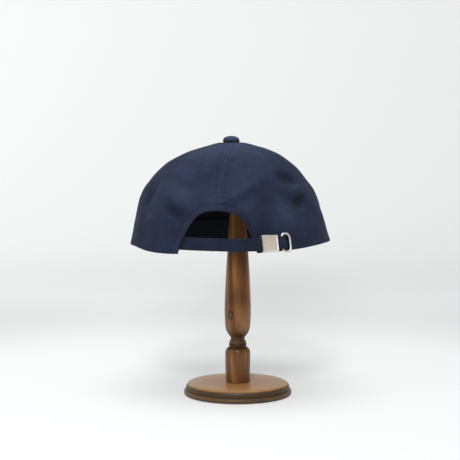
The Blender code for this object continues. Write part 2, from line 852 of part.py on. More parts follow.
def make_peak(cloth):
    """Plain curved peak, its inner edge along the crown's rim."""
    front = peak_foot(0.0).y + PEAK_REACH
    rows = []
    for r in range(PEAK_ROWS + 1):
        reach = 1 - r / PEAK_ROWS
        row = []
        for c in range(PEAK_COLUMNS + 1):
            place = 1 - 2 * c / PEAK_COLUMNS
            foot = peak_foot(place)
            end = peak_foot(math.copysign(1.0, place))
            middle = (peak_foot(-1.0) + peak_foot(1.0)) / 2
            turn = abs(place) * math.pi / 2
            side = middle.x + (end.x - middle.x) * math.sin(turn)
            bow = max(0.0, math.cos(turn)) ** PEAK_ROUNDNESS
            edge = end.y + PEAK_THICKNESS + (front - end.y) * bow
            way = Vector((side - foot.x, edge - foot.y, 0.0))
            fall = way.length * math.tan(PEAK_SLOPE) * (1 + PEAK_BEND * place ** 2)
            row.append(foot + way * reach - Vector((0.0, 0.0, fall * reach ** PEAK_FALL)))
        rows.append(row)
    peak = new_object("peak", grid_mesh("peak", rows), cloth)
    thicken(peak, PEAK_THICKNESS, -1)
    return peak


# Stand


def make_base(wood):
    turns = [Turn(0.0, 0.0)] + BASE_TURNS + [Turn(1.0, 0.0)]
    profile = [(turn.height * BASE_HEIGHT, turn.radius * BASE_RADIUS) for turn in turns]
    return turned_object("stand_base", profile, BASE_SIDES, wood)


def make_post(wood):
    foot = BASE_HEIGHT + GAP
    neck = STAND_HEIGHT - KNOB_HEIGHT
    profile = [(foot, 0.0)]
    profile += [(foot + turn.height * (neck - foot), turn.radius * POST_RADIUS) for turn in POST_TURNS]
    profile += [(neck + turn.height * KNOB_HEIGHT, turn.radius * KNOB_RADIUS) for turn in KNOB_TURNS]
    profile += [(STAND_HEIGHT, 0.0)]
    return turned_object("stand_post", profile, POST_SIDES, wood)


def main():
    clear_scene()
    cloth, lining, metal, wood, base_wood = (plain_material(look) for look in LOOKS)
    make_base(base_wood)
    make_post(wood)
    make_crown(cloth)
    make_button(cloth)
    make_binding(cloth)
    make_peak(cloth)
    make_sweatband(lining)
    make_tab(cloth)
    make_clasp(metal)
    make_ring(metal)
    make_strap(cloth)


main()
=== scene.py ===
# Navy duck-cloth cap with a slide clasp at its back, resting on a turned wooden stand
import math
from collections import namedtuple

import bpy
import bmesh
from mathutils import Matrix, Vector, noise


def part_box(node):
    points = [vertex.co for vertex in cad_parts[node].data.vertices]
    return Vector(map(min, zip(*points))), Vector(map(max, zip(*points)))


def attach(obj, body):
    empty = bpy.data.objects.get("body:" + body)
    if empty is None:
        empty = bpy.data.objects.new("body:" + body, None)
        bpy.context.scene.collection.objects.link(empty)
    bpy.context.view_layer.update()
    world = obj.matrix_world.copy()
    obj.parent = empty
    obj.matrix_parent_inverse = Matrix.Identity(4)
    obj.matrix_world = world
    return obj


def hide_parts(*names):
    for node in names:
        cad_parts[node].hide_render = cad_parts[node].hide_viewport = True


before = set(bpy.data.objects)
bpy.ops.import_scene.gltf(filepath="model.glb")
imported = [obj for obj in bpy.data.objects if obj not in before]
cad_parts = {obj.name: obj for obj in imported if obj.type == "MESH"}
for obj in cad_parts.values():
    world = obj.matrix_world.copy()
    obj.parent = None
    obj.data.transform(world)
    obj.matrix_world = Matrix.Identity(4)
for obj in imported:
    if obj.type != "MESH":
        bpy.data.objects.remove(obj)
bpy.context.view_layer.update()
print("frame loaded")

gap = 0.0003  # clearance between pieces that meet, in metres
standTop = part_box("stand_post")[1].z
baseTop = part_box("stand_base")[1].z
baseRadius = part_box("stand_base")[1].x

Section = namedtuple("Section", "height width back front shift")
Rim = namedtuple("Rim", "angle rise")
Fold = namedtuple("Fold", "angle height length width turn rise")
Arch = namedtuple("Arch", "height left right")
Turn = namedtuple("Turn", "height radius")


# Shader nodes

class Signal:  # one socket, so that shader maths reads as plain expressions
    def __init__(self, finish, socket):
        self.finish = finish
        self.socket = socket

    def maths(self, operation, first, second):
        return self.finish.node("Math", {"operation": operation}, {0: first, 1: second})

    def __add__(self, other):
        return self.maths("ADD", self, other)

    def __radd__(self, other):
        return self.maths("ADD", other, self)

    def __sub__(self, other):
        return self.maths("SUBTRACT", self, other)

    def __rsub__(self, other):
        return self.maths("SUBTRACT", other, self)

    def __mul__(self, other):
        return self.maths("MULTIPLY", self, other)

    def __rmul__(self, other):
        return self.maths("MULTIPLY", other, self)

    def __truediv__(self, other):
        return self.maths("DIVIDE", self, other)

    def __rtruediv__(self, other):
        return self.maths("DIVIDE", other, self)

    def __mod__(self, other):
        return self.maths("FLOORED_MODULO", self, other)


class Finish:  # one material: its shader and the nodes that feed it
    def __init__(self, name, **uniform):
        self.material = bpy.data.materials.new(name)
        self.material.use_nodes = True
        self.tree = self.material.node_tree
        self.shader = self.tree.nodes["Principled BSDF"]
        for socketName, value in uniform.items():
            self.shader.inputs[socketName.replace("_", " ")].default_value = value

    def node(self, kind, settings, inputs, output=0):
        made = self.tree.nodes.new("ShaderNode" + kind)
        for key, value in settings.items():
            if key == "stops":
                self.setStops(made.color_ramp, value)
            else:
                setattr(made, key, value)
        for key, value in inputs.items():
            if isinstance(value, Signal):
                self.tree.links.new(value.socket, made.inputs[key])
            else:
                made.inputs[key].default_value = value
        return Signal(self, made.outputs[output])

    def setStops(self, ramp, stops):
        while len(ramp.elements) < len(stops):
            ramp.elements.new(1.0)
        for element, (place, colour) in zip(ramp.elements, stops):
            element.position = place
            element.color = (*colour, 1.0)

    def feed(self, socketName, signal):
        self.tree.links.new(signal.socket, self.shader.inputs[socketName])


def oneSided(finish, operation, value, other=0.0):
    return finish.node("Math", {"operation": operation}, {0: value, 1: other})


def vectors(finish, operation, first, second=(0.0, 0.0, 0.0), output=0):
    return finish.node("VectorMath", {"operation": operation}, {0: first, 1: second}, output)


def painted(finish, name):  # a value that the piece carries on its points
    return finish.node("Attribute", {"attribute_name": name}, {}, output=2)


def grey(finish, value):
    return finish.node("CombineColor", {}, {0: value, 1: value, 2: value})


def smoothBetween(finish, value, low, high):
    settings = {"interpolation_type": "SMOOTHSTEP"}
    return finish.node("MapRange", settings, {0: value, 1: low, 2: high, 3: 0.0, 4: 1.0})


def mixColours(finish, share, first, second, way="MIX"):
    settings = {"data_type": "RGBA", "blend_type": way}
    return finish.node("Mix", settings, {0: share, 6: first, 7: second}, output=2)


def spread(finish, place, stretch, scale, detail=2.0, roughness=0.5):
    stretched = vectors(finish, "MULTIPLY", place, stretch)
    sockets = {"Vector": stretched, "Scale": scale, "Detail": detail, "Roughness": roughness}
    return finish.node("TexNoise", {}, sockets)


def tone(colour, strength=1.0):
    return (*(part * strength for part in colour), 1.0)


clothLook = {
    "yarn": 0.00058,           # metres between yarns
    "deep": (0.0158, 0.0220, 0.0470),
    "main": (0.0282, 0.0390, 0.0805),
    # the pale colour of wear and of painted highlight
    "worn": (0.0530, 0.0715, 0.1280),
    "roughness": 0.93, "specular": 0.18,
    "sheen": 0.03, "sheenRoughness": 0.45, "sheenTint": (0.55, 0.66, 0.90),
    "bump": 0.35, "bumpDepth": 0.35,       # depth in shares of the space between yarns
    "slub": 0.30,                          # how much its uneven yarns show
    "cloudScale": 38.0, "clouds": (0.30, 0.72),  # its soft pale patches
    "dentShade": 0.50,                     # how dark the painted shade's colour is, beside the deep one
}
threadTones = {"main": (0.020, 0.029, 0.062), "worn": (0.030, 0.042, 0.080)}
liningShade, strapShade = 0.16, 0.62       # the lining's and the strap's colours, beside the crown's: darker copies that are painted shade inside the crown, sweatband included, and on the strap and its tab


def makeCloth(name, look, darker=1.0):
    cloth = Finish(name, Specular_IOR_Level=look["specular"], Sheen_Weight=look["sheen"],
                   Sheen_Roughness=look["sheenRoughness"], Sheen_Tint=tone(look["sheenTint"]))
    weave = cloth.node("UVMap", {"uv_map": "weave"}, {})
    across = cloth.node("SeparateXYZ", {}, {0: weave}, output=0) / look["yarn"]
    along = cloth.node("SeparateXYZ", {}, {0: weave}, output=1) / look["yarn"]
    warp = oneSided(cloth, "ABSOLUTE", oneSided(cloth, "SINE", across * math.pi))
    weft = oneSided(cloth, "ABSOLUTE", oneSided(cloth, "SINE", along * math.pi))
    parity = (oneSided(cloth, "FLOOR", across) + oneSided(cloth, "FLOOR", along)) % 2.0
    warpOver = warp * (0.55 + 0.45 * weft)  # where the warp lies on top it stands a little higher
    weftOver = weft * (0.45 + 0.40 * warp)
    yarns = warpOver * (1 - parity) + weftOver * parity
    warpSlub = spread(cloth, weave, (1.0, 0.035, 1.0), 1.0 / look["yarn"])
    weftSlub = spread(cloth, weave, (0.030, 1.0, 1.0), 0.8 / look["yarn"])
    slub = warpSlub + weftSlub
    place = cloth.node("TexCoord", {}, {}, output=3)
    clouds = spread(cloth, place, (1.0, 1.0, 1.0), look["cloudScale"], detail=4.0, roughness=0.6)
    body = mixColours(cloth, smoothBetween(cloth, clouds, *look["clouds"]),
                      tone(look["deep"], darker), tone(look["main"], darker))
    # paler where a piece carries wear and painted highlight
    lit = mixColours(cloth, painted(cloth, "worn") * (0.55 + 0.6 * clouds), body, tone(look["worn"], darker))
    shade = 0.80 + 0.26 * yarns + look["slub"] * (slub - 1.0)
    shaded = mixColours(cloth, 1.0, lit, grey(cloth, shade), "MULTIPLY")
    # painted shade in dents and other shaded places darkens the cloth towards a deep colour
    paintedShadeColour = tone(look["deep"], look["dentShade"] * darker)
    cloth.feed("Base Color", mixColours(cloth, painted(cloth, "creased"), shaded, paintedShadeColour))
    cloth.feed("Roughness", look["roughness"] - 0.10 * yarns + 0.10 * (clouds - 0.5))
    depth = look["yarn"] * look["bumpDepth"]
    relief = {"Strength": look["bump"], "Distance": depth, "Height": yarns + 0.35 * slub}
    cloth.feed("Normal", cloth.node("Bump", {}, relief))
    return cloth.material


# Curves through table rows

def curveValue(before, start, end, after, share):
    slopeIn = (end - before) / 2
    slopeOut = (after - start) / 2
    rest = end - start
    bend = 3 * rest - 2 * slopeIn - slopeOut
    twist = slopeIn + slopeOut - 2 * rest
    return start + share * (slopeIn + share * (bend + share * twist))


def rowAt(rows, place):
    last = len(rows) - 1
    place = min(max(place, 0.0), last)
    first = min(int(place), last - 1)
    share = place - first
    start, end = rows[first], rows[first + 1]
    before = rows[first - 1] if first else [2 * a - b for a, b in zip(start, end)]
    after = rows[first + 2] if first + 2 <= last else [2 * b - a for a, b in zip(start, end)]
    return [curveValue(*values, share) for values in zip(before, start, end, after)]


def softStep(low, high, value):
    share = min(max((value - low) / (high - low), 0.0), 1.0)
    return share * share * (3 - 2 * share)


# Shape of the crown, as its solid has it, with the finer relief of sewn cloth on it

crownSpec = {
    "width": 0.1945, "depth": 0.1790, "height": 0.0980, "wall": 0.0018, "lean": 0.0075, "seat": 0.0011,
    "foldHeight": 0.0040, "seamDip": 0.0004, "seamWidth": 0.0045, "panelSwell": 0.0008, "panels": 6,
    "groove": 0.00042, "grooveWidth": 0.00045,          # the sewn line itself
    "allowance": 0.00030, "allowanceWidth": 0.0052,     # folded edges under the cloth
    "topstitch": 0.0030, "stitchDip": 0.00022, "stitchDipWidth": 0.0005,
    "pucker": 0.00026, "puckerLength": 0.0066, "puckerWidth": 0.0032,
    "ripple": 0.00075, "rippleScale": 36.0, "crumple": 0.00028, "crumpleScale": 110.0,
    "rimShare": 0.15, "rimReach": 0.25,                 # share of a fold at the rim, and height of all of it
    "climb": 1.25,                                      # length up the cloth, beside the height
    "wander": 2.2, "wanderScale": (3.0, 90.0),          # unevenness of the puckers
    "still": 0.3, "stillTop": (0.93, 0.99),             # no ripples at the rim and under the button
    "stitchFoot": 0.12, "stitchTop": 11.2, "stitchPoints": 90, "stitchClear": 0.001,
    "weaveAngle": 0.5, "weaveParts": 10,                # where and how finely the cloth's length is measured
    "rollDegrees": (30, 60, 90, 120, 150),
    # degrees from a seam to each column of points beside it
    "columnSteps": (0.2, 0.5, 0.9, 1.4, 2.0, 2.7, 3.5, 4.4, 5.4, 6.5, 7.7, 9.0, 10.4, 11.8, 13.2, 14.6,
                    16.0, 17.5, 19.0, 20.5, 22.0, 23.5, 25.0, 26.3, 27.5, 28.8, 30.0),
    "archColumns": 26.3,       # degrees to either side whose columns end on the arch
    "ringLevel": 6.0, "capLevel": 9.0, "lowerRows": 34, "middleRows": 18, "upperRows": 22,
}
solveSpec = {"halvings": 20, "angleStep": math.radians(0.5), "levelStep": 0.02, "frameStep": 0.002}

crownSections = [
    Section(0.000, 0.998, 1.000, 1.000, -1.00),
    Section(0.100, 0.968, 0.976, 0.980, -1.06),
    Section(0.200, 0.942, 0.954, 0.962, -1.14),
    Section(0.300, 0.915, 0.929, 0.941, -1.20),
    Section(0.400, 0.887, 0.902, 0.915, -1.22),
    Section(0.500, 0.848, 0.866, 0.880, -1.22),
    Section(0.600, 0.789, 0.808, 0.824, -1.24),
    Section(0.700, 0.709, 0.730, 0.744, -1.22),
    Section(0.800, 0.594, 0.616, 0.628, -1.17),
    Section(0.900, 0.420, 0.436, 0.444, -0.98),
    Section(0.960, 0.242, 0.250, 0.256, -0.78),
    Section(0.989, 0.124, 0.127, 0.130, -0.78),
    Section(1.000, 0.000, 0.000, 0.000, -0.85),
]

rimRows = [
    Rim(0, -0.038), Rim(18, -0.029), Rim(35, -0.013), Rim(48, 0.002), Rim(62, 0.020), Rim(76, 0.030),
    Rim(92, 0.028), Rim(120, 0.002), Rim(150, -0.008), Rim(180, -0.005), Rim(210, -0.020),
    Rim(240, -0.050), Rim(270, -0.015), Rim(295, -0.006), Rim(312, -0.035), Rim(325, -0.046),
]

foldRows = [
    Fold(55, 0.655, 0.150, 0.075, -10, -1.15),
    Fold(54, 0.545, 0.120, 0.050, 4, 0.60),
    Fold(57, 0.435, 0.150, 0.062, 10, -1.00),
    Fold(40, 0.340, 0.170, 0.080, -52, 0.60),
    Fold(30, 0.440, 0.110, 0.060, -60, -0.45),
    Fold(17, 0.570, 0.220, 0.055, 30, 0.55),
    Fold(14, 0.480, 0.180, 0.055, 28, -0.45),
    Fold(-27, 0.500, 0.270, 0.085, -26, 0.70),
    Fold(-30, 0.370, 0.160, 0.050, -18, -0.75),
    Fold(-50, 0.290, 0.110, 0.080, 10, 0.50),
    Fold(-58, 0.480, 0.130, 0.070, 60, -0.60),
    Fold(-72, 0.560, 0.180, 0.080, 50, 0.45),
    Fold(78, 0.300, 0.160, 0.070, -40, 0.50),
    Fold(82, 0.560, 0.140, 0.070, 35, -0.45),
    Fold(-100, 0.400, 0.200, 0.080, 30, -0.55),
    Fold(112, 0.450, 0.200, 0.080, -35, -0.55),
    Fold(135, 0.560, 0.260, 0.070, 28, 0.60),
    Fold(-140, 0.520, 0.260, 0.070, -24, 0.65),
    Fold(160, 0.360, 0.200, 0.080, -12, -0.55),
    Fold(-168, 0.640, 0.240, 0.070, 18, -0.50),
]

crownTop = standTop + crownSpec["seat"] + crownSpec["wall"]
rimLevel = crownTop - crownSpec["height"]
sector = math.tau / crownSpec["panels"]


def rimRise(angle):
    degrees = math.degrees(angle) % 360
    slot = max(k for k, row in enumerate(rimRows) if row.angle <= degrees)
    count = len(rimRows)
    picks = [rimRows[(slot + step) % count] for step in (-1, 0, 1, 2)]
    span = (picks[2].angle - picks[1].angle) % 360
    share = (degrees - picks[1].angle) / span
    return curveValue(*(pick.rise for pick in picks), share) * crownSpec["height"]


def seamGap(angle, reach):  # metres to the nearest seam
    return ((angle + sector / 2) % sector - sector / 2) * reach


def foldShare(angle, height, reach):
    rise = 0.0
    for fold in foldRows:
        turn = (angle - math.radians(fold.angle) + math.pi) % math.tau - math.pi
        across = turn * reach / crownSpec["height"]
        up = height - fold.height
        slope = math.radians(fold.turn)
        along = across * math.cos(slope) + up * math.sin(slope)
        aside = up * math.cos(slope) - across * math.sin(slope)
        rise += fold.rise * math.exp(-(along / fold.length) ** 2 - (aside / fold.width) ** 2)
    return rise


def foldRise(angle, height, reach):
    rise = foldShare(angle, height, reach) * crownSpec["foldHeight"]
    fromSeam = seamGap(angle, reach)
    rise -= crownSpec["seamDip"] * math.exp(-(fromSeam / crownSpec["seamWidth"]) ** 2)
    rise += crownSpec["panelSwell"] * math.sin(math.pi * fromSeam / (sector * max(reach, gap))) ** 2
    fade = min(1.0, reach / (crownSpec["width"] / 4))
    nearRim = min(1.0, crownSpec["rimShare"] + height / crownSpec["rimReach"])
    return rise * fade * nearRim


def sewnRise(angle, height, reach):  # the sewn line, its folded edges, topstitching and puckers
    spec = crownSpec
    fromSeam = abs(seamGap(angle, reach))
    rise = -spec["groove"] * math.exp(-(fromSeam / spec["grooveWidth"]) ** 2)
    rise += spec["allowance"] * (1 - softStep(0.8, 1.15, fromSeam / spec["allowanceWidth"]))
    fromStitch = fromSeam - spec["topstitch"]
    rise -= spec["stitchDip"] * math.exp(-(fromStitch / spec["stitchDipWidth"]) ** 2)
    up = height * spec["height"] * spec["climb"]
    aroundScale, upScale = spec["wanderScale"]
    wander = spec["wander"] * noise.noise(Vector((angle * aroundScale, up * upScale, 1.7)))
    swing = math.sin(up * math.tau / spec["puckerLength"] + wander)
    rise += spec["pucker"] * swing * math.exp(-(fromStitch / spec["puckerWidth"]) ** 2)
    return rise * softStep(0.02, 0.25, reach / (spec["width"] / 2))


def barePoint(angle, level):
    height, width, back, front, shift = rowAt(crownSections, level)
    depth = back if math.cos(angle) > 0 else front
    rim = rimLevel + rimRise(angle)
    return Vector((
        shift * crownSpec["lean"] + width * crownSpec["width"] / 2 * math.sin(angle),
        -depth * crownSpec["depth"] / 2 * math.cos(angle),
        rim + (crownTop - rim) * height,
    ))


def crownNormal(angle, level):
    step = solveSpec["levelStep"]
    around = barePoint(angle + step, level) - barePoint(angle - step, level)
    upward = barePoint(angle, level + step) - barePoint(angle, max(level - step, 0.0))
    return around.cross(upward).normalized()


def crownPoint(angle, level, lift=0.0):
    point = barePoint(angle, level)
    height, width = rowAt(crownSections, level)[:2]
    reach = width * crownSpec["width"] / 2
    rise = foldRise(angle, height, reach) + sewnRise(angle, height, reach)
    ripple = crownSpec["ripple"] * noise.noise(point * crownSpec["rippleScale"])
    ripple += crownSpec["crumple"] * noise.noise(point * crownSpec["crumpleScale"])
    ripple *= softStep(0.0, crownSpec["still"], height) * (1 - softStep(*crownSpec["stillTop"], height))
    return point + crownNormal(angle, level) * (rise + ripple + lift)


def levelAt(angle, z):
    rim = rimLevel + rimRise(angle)
    height = (z - rim) / (crownTop - rim)
    low, high = 0.0, len(crownSections) - 1.0
    for _ in range(solveSpec["halvings"]):
        middle = (low + high) / 2
        if rowAt(crownSections, middle)[0] < height:
            low = middle
        else:
            high = middle
    return (low + high) / 2


def angleAt(along):
    step = solveSpec["angleStep"]
    angle, gone = 0.0, 0.0
    while gone < abs(along):
        sideStep = crownSpec["width"] / 2 * math.cos(angle)
        depthStep = crownSpec["depth"] / 2 * math.sin(angle)
        gone += step * math.hypot(sideStep, depthStep)
        angle += step
    over = (gone - abs(along)) / (crownSpec["width"] / 2)
    return math.copysign(angle - over, along)


def wallPoint(along, z, lift=0.0):
    angle = angleAt(along)
    level = levelAt(angle, z)
    point = crownPoint(angle, level, lift)
    point.z += z - barePoint(angle, level).z
    return point


# Meshes

def link(item):
    bpy.context.scene.collection.objects.link(item)
    return item


def newPiece(name, verts, faces, material, uvs=None, smooth=True):
    mesh = bpy.data.meshes.new(name)
    mesh.from_pydata(verts, [], faces)
    mesh.materials.append(material)
    if uvs is not None:
        layer = mesh.uv_layers.new(name="weave")
        for face, corners in zip(mesh.polygons, uvs):
            for loop, corner in zip(face.loop_indices, corners):
                layer.data[loop].uv = corner
    if smooth:
        mesh.shade_smooth()
    mesh.update()
    return link(bpy.data.objects.new(name, mesh))


def turnOutward(piece):  # makes all its faces look outward
    work = bmesh.new()
    work.from_mesh(piece.data)
    bmesh.ops.recalc_face_normals(work, faces=work.faces)
    work.to_mesh(piece.data)
    work.free()


def settle(piece):  # keeps what the modifiers make, and drops them
    seen = piece.evaluated_get(bpy.context.evaluated_depsgraph_get())
    mesh = bpy.data.meshes.new_from_object(seen)
    piece.modifiers.clear()
    piece.data = mesh
    mesh.name = piece.name


# stores on a piece's points where it is paler, from wear and painted light, and its painted shade
def setWearLightAndShade(piece, worn, creased=None):
    for name, values in (("worn", worn), ("creased", creased)):
        layer = piece.data.attributes.new(name, "FLOAT", "POINT")
        if values is not None:
            layer.data.foreach_set("value", values)


def place(piece, slot, *nodes):
    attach(piece, "root")
    if nodes:
        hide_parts(*nodes)
    return piece


def loopedMesh(name, rings, material, closed=False):  # a skin over rings of points, with capped ends
    verts = [point for ring in rings for point in ring]
    count = len(rings[0])
    faces, uvs = [], []
    lengths = [0.0]
    for low, high in zip(rings, rings[1:] + rings[:1]):
        lengths.append(lengths[-1] + (high[0] - low[0]).length)
    girth = [0.0]
    for k in range(count):
        girth.append(girth[-1] + (rings[0][(k + 1) % count] - rings[0][k]).length)
    spans = len(rings) if closed else len(rings) - 1
    for r in range(spans):
        low, high = r * count, (r + 1) % len(rings) * count
        for k in range(count):
            after = (k + 1) % count
            faces.append((low + k, low + after, high + after, high + k))
            left, right, start, end = girth[k], girth[k + 1], lengths[r], lengths[r + 1]
            uvs.append([(left, start), (right, start), (right, end), (left, end)])
    if not closed:
        last = (len(rings) - 1) * count
        faces.append(tuple(range(count))[::-1])
        faces.append(tuple(last + k for k in range(count)))
        uvs += [[(0, 0)] * count] * 2
    return newPiece(name, verts, faces, material, uvs)


def stitchRun(places, spec):  # stitches along a route of points and outward directions
    verts, faces = [], []
    lengths = [0.0]
    for (a, _), (b, _) in zip(places, places[1:]):
        lengths.append(lengths[-1] + (b - a).length)
    pitch = spec["length"] + spec["space"]
    count = int(lengths[-1] / pitch)

    def at(distance):
        k = max(i for i, value in enumerate(lengths[:-1]) if value <= distance)
        share = (distance - lengths[k]) / max(lengths[k + 1] - lengths[k], 1e-9)
        point = places[k][0].lerp(places[k + 1][0], share)
        return point, places[k][1].lerp(places[k + 1][1], share).normalized()

    sides, sections = spec["sides"], spec["sections"]
    for n in range(count):
        start = n * pitch + spec["space"] / 2
        first = len(verts)
        for s in range(sections):
            share = s / (sections - 1)
            distance = start + share * spec["length"]
            point, out = at(distance)
            ahead = at(min(distance + spec["sight"], lengths[-1]))[0]
            back = at(max(distance - spec["sight"], 0.0))[0]
            way = (ahead - back).normalized()
            side = way.cross(out).normalized()
            bulge = math.sin(math.pi * (spec["arcStart"] + (1 - 2 * spec["arcStart"]) * share))
            radius = spec["radius"] * (spec["endRadius"] + (1 - spec["endRadius"]) * bulge)
            middle = point + out * (spec["radius"] * (spec["rise"] * bulge - spec["sunk"]))
            for k in range(sides):
                turn = math.tau * k / sides
                verts.append(middle + side * math.cos(turn) * radius + out * math.sin(turn) * radius)
        for s in range(sections - 1):
            low = first + s * sides
            for k in range(sides):
                after = (k + 1) % sides
                faces.append((low + k, low + after, low + sides + after, low + sides + k))
        faces.append(tuple(first + k for k in range(sides))[::-1])
        faces.append(tuple(first + (sections - 1) * sides + k for k in range(sides)))
    return verts, faces


def stitchPiece(name, runs, spec, material):
    verts, faces = [], []
    for run in runs:
        moreVerts, moreFaces = stitchRun(run, spec)
        shift = len(verts)
        verts += moreVerts
        faces += [tuple(k + shift for k in face) for face in moreFaces]
    uvs = [[(verts[k].x, verts[k].z) for k in face] for face in faces]
    return newPiece(name, verts, faces, material, uvs)


stitchSpec = {
    "length": 0.0024, "space": 0.0007, "radius": 0.00024, "sides": 6, "sections": 5,
    "arcStart": 0.12, "endRadius": 0.45,   # where a stitch's arc starts, and its radius there, as shares
    "rise": 1.5, "sunk": 0.9,              # the arc's height and the depth of its ends, in radii
    "sight": 0.0002,                       # distance over which its direction is taken
}


# Crown

def crownColumns():
    steps = crownSpec["columnSteps"]
    degrees = []
    for panel in range(crownSpec["panels"]):
        seam = panel * 360 / crownSpec["panels"]
        degrees += [seam - step for step in reversed(steps[:-1])] + [seam] + [seam + step for step in steps]
    return degrees


def archEdgePlace(column, inset):  # place on the arch's edge where a column ends
    side = -1 if column < 0 else 1
    line = archLines[side]
    share = min(abs(column) / crownSpec["archColumns"], 1.0)
    distance = share * line[-1][0]
    k = max(i for i in range(len(line) - 1) if line[i][0] <= distance)
    (d0, a0, z0), (d1, a1, z1) = line[k], line[k + 1]
    part = (distance - d0) / (d1 - d0)
    way = Vector((a1 - a0, z1 - z0)).normalized() * side
    aside = Vector((-way.y, way.x))
    return a0 + (a1 - a0) * part + aside.x * inset, z0 + (z1 - z0) * part + aside.y * inset


def crownBoundary(degree):  # angle and level where a column starts, on the rim or the arch's edge
    hem = crownSpec["wall"] / 2
    column = (degree + 180) % 360 - 180
    limit = crownSpec["archColumns"]
    if abs(column) < limit:
        along, z = archEdgePlace(column, archSpec["clothInset"] + hem)
        angle = angleAt(along)
        rim = rimLevel + rimRise(angle)
        return angle, levelAt(angle, max(z, rim + hem))
    side = -1 if column < 0 else 1
    foot = archLines[side][-1][1] + side * (archSpec["clothInset"] + hem)
    footAngle = math.degrees(angleAt(foot))
    free = 2 * limit
    if abs(column) < free:
        share = (abs(column) - limit) / (free - limit)
        column = footAngle + (side * free - footAngle) * share
    angle = math.radians(column)
    return angle, levelAt(angle, rimLevel + rimRise(angle) + hem)


def crownWeave(faces, spots):  # each panel's cloth laid flat, its weave running up the middle
    parts, angle = crownSpec["weaveParts"], crownSpec["weaveAngle"]
    top = len(crownSections) - 1
    climbs = [0.0]
    for k in range(1, parts * top + 1):
        climbs.append(climbs[-1] + (barePoint(angle, k / parts) - barePoint(angle, (k - 1) / parts)).length)
    reaches = [rowAt(crownSections, k / parts)[1] * crownSpec["width"] / 2 for k in range(parts * top + 1)]

    def lookUp(table, level):
        k = min(int(level * parts), len(table) - 2)
        return table[k] + (table[k + 1] - table[k]) * (level * parts - k)

    uvs = []
    for face in faces:
        angles = [spots[k][0] for k in face]
        wraps = max(angles) - min(angles) >= 1
        panel = 0 if wraps else math.floor((angles[0] + 1e-4) / sector)
        middle = (panel + 0.5) * sector
        corners = []
        for k in face:
            turn = (spots[k][0] - middle + math.pi) % math.tau - math.pi
            corners.append((turn * lookUp(reaches, spots[k][1]), lookUp(climbs, spots[k][1])))
        uvs.append(corners)
    return uvs


crownWearAndHighlight = {
    "seam": 0.35, "seamAt": 0.0011, "seamWidth": 0.0007,  # pale lines beside each seam
    "fold": 0.50, "foldFull": 0.85,        # paler on the folds' crests, partly wear and partly painted highlight
    # paler towards the top, partly wear and partly painted highlight
    "top": 0.60, "topFrom": (0.80, 0.99),
}
crownShade = {
    # painted shade in the seams' grooves, in the dents and towards the rim
    "seam": 0.55, "seamWidth": 0.0004, "dent": 0.88, "dentFull": 0.90, "rim": 0.30, "rimHeight": 0.40,
    "clasp": 0.55, "claspPlace": 0.60, "claspWidth": 0.13, "claspHeights": (0.25, 0.60),  # painted shade beside the arch, over the clasp
}


def paintCrown(crown, spots):  # where the cloth is paler, from wear and painted highlight, and darker, from painted shade
    wear, shade = crownWearAndHighlight, crownShade
    worn, creased = [], []
    claspAngle = angleAt(archSpec["offset"] + archSpec["width"] * shade["claspPlace"])
    for angle, level in spots:
        height, width = rowAt(crownSections, level)[:2]
        reach = width * crownSpec["width"] / 2
        edge = abs(seamGap(angle, reach))
        share = foldShare(angle, height, reach)
        pale = wear["seam"] * math.exp(-((edge - wear["seamAt"]) / wear["seamWidth"]) ** 2)
        pale += wear["fold"] * softStep(0.0, wear["foldFull"], share)
        pale += wear["top"] * softStep(*wear["topFrom"], height)
        worn.append(min(pale, 1.0))
        dark = shade["seam"] * math.exp(-(edge / shade["seamWidth"]) ** 2)
        dark += shade["dent"] * softStep(0.0, shade["dentFull"], -share)
        dark += shade["rim"] * (1 - softStep(0.0, shade["rimHeight"], height))
        aside = (angle - claspAngle + math.pi) % math.tau - math.pi
        besideArch = math.exp(-(aside / shade["claspWidth"]) ** 2)
        dark += shade["clasp"] * besideArch * (1 - softStep(*shade["claspHeights"], height))
        creased.append(min(dark, 1.0))
    setWearLightAndShade(crown, worn, creased)


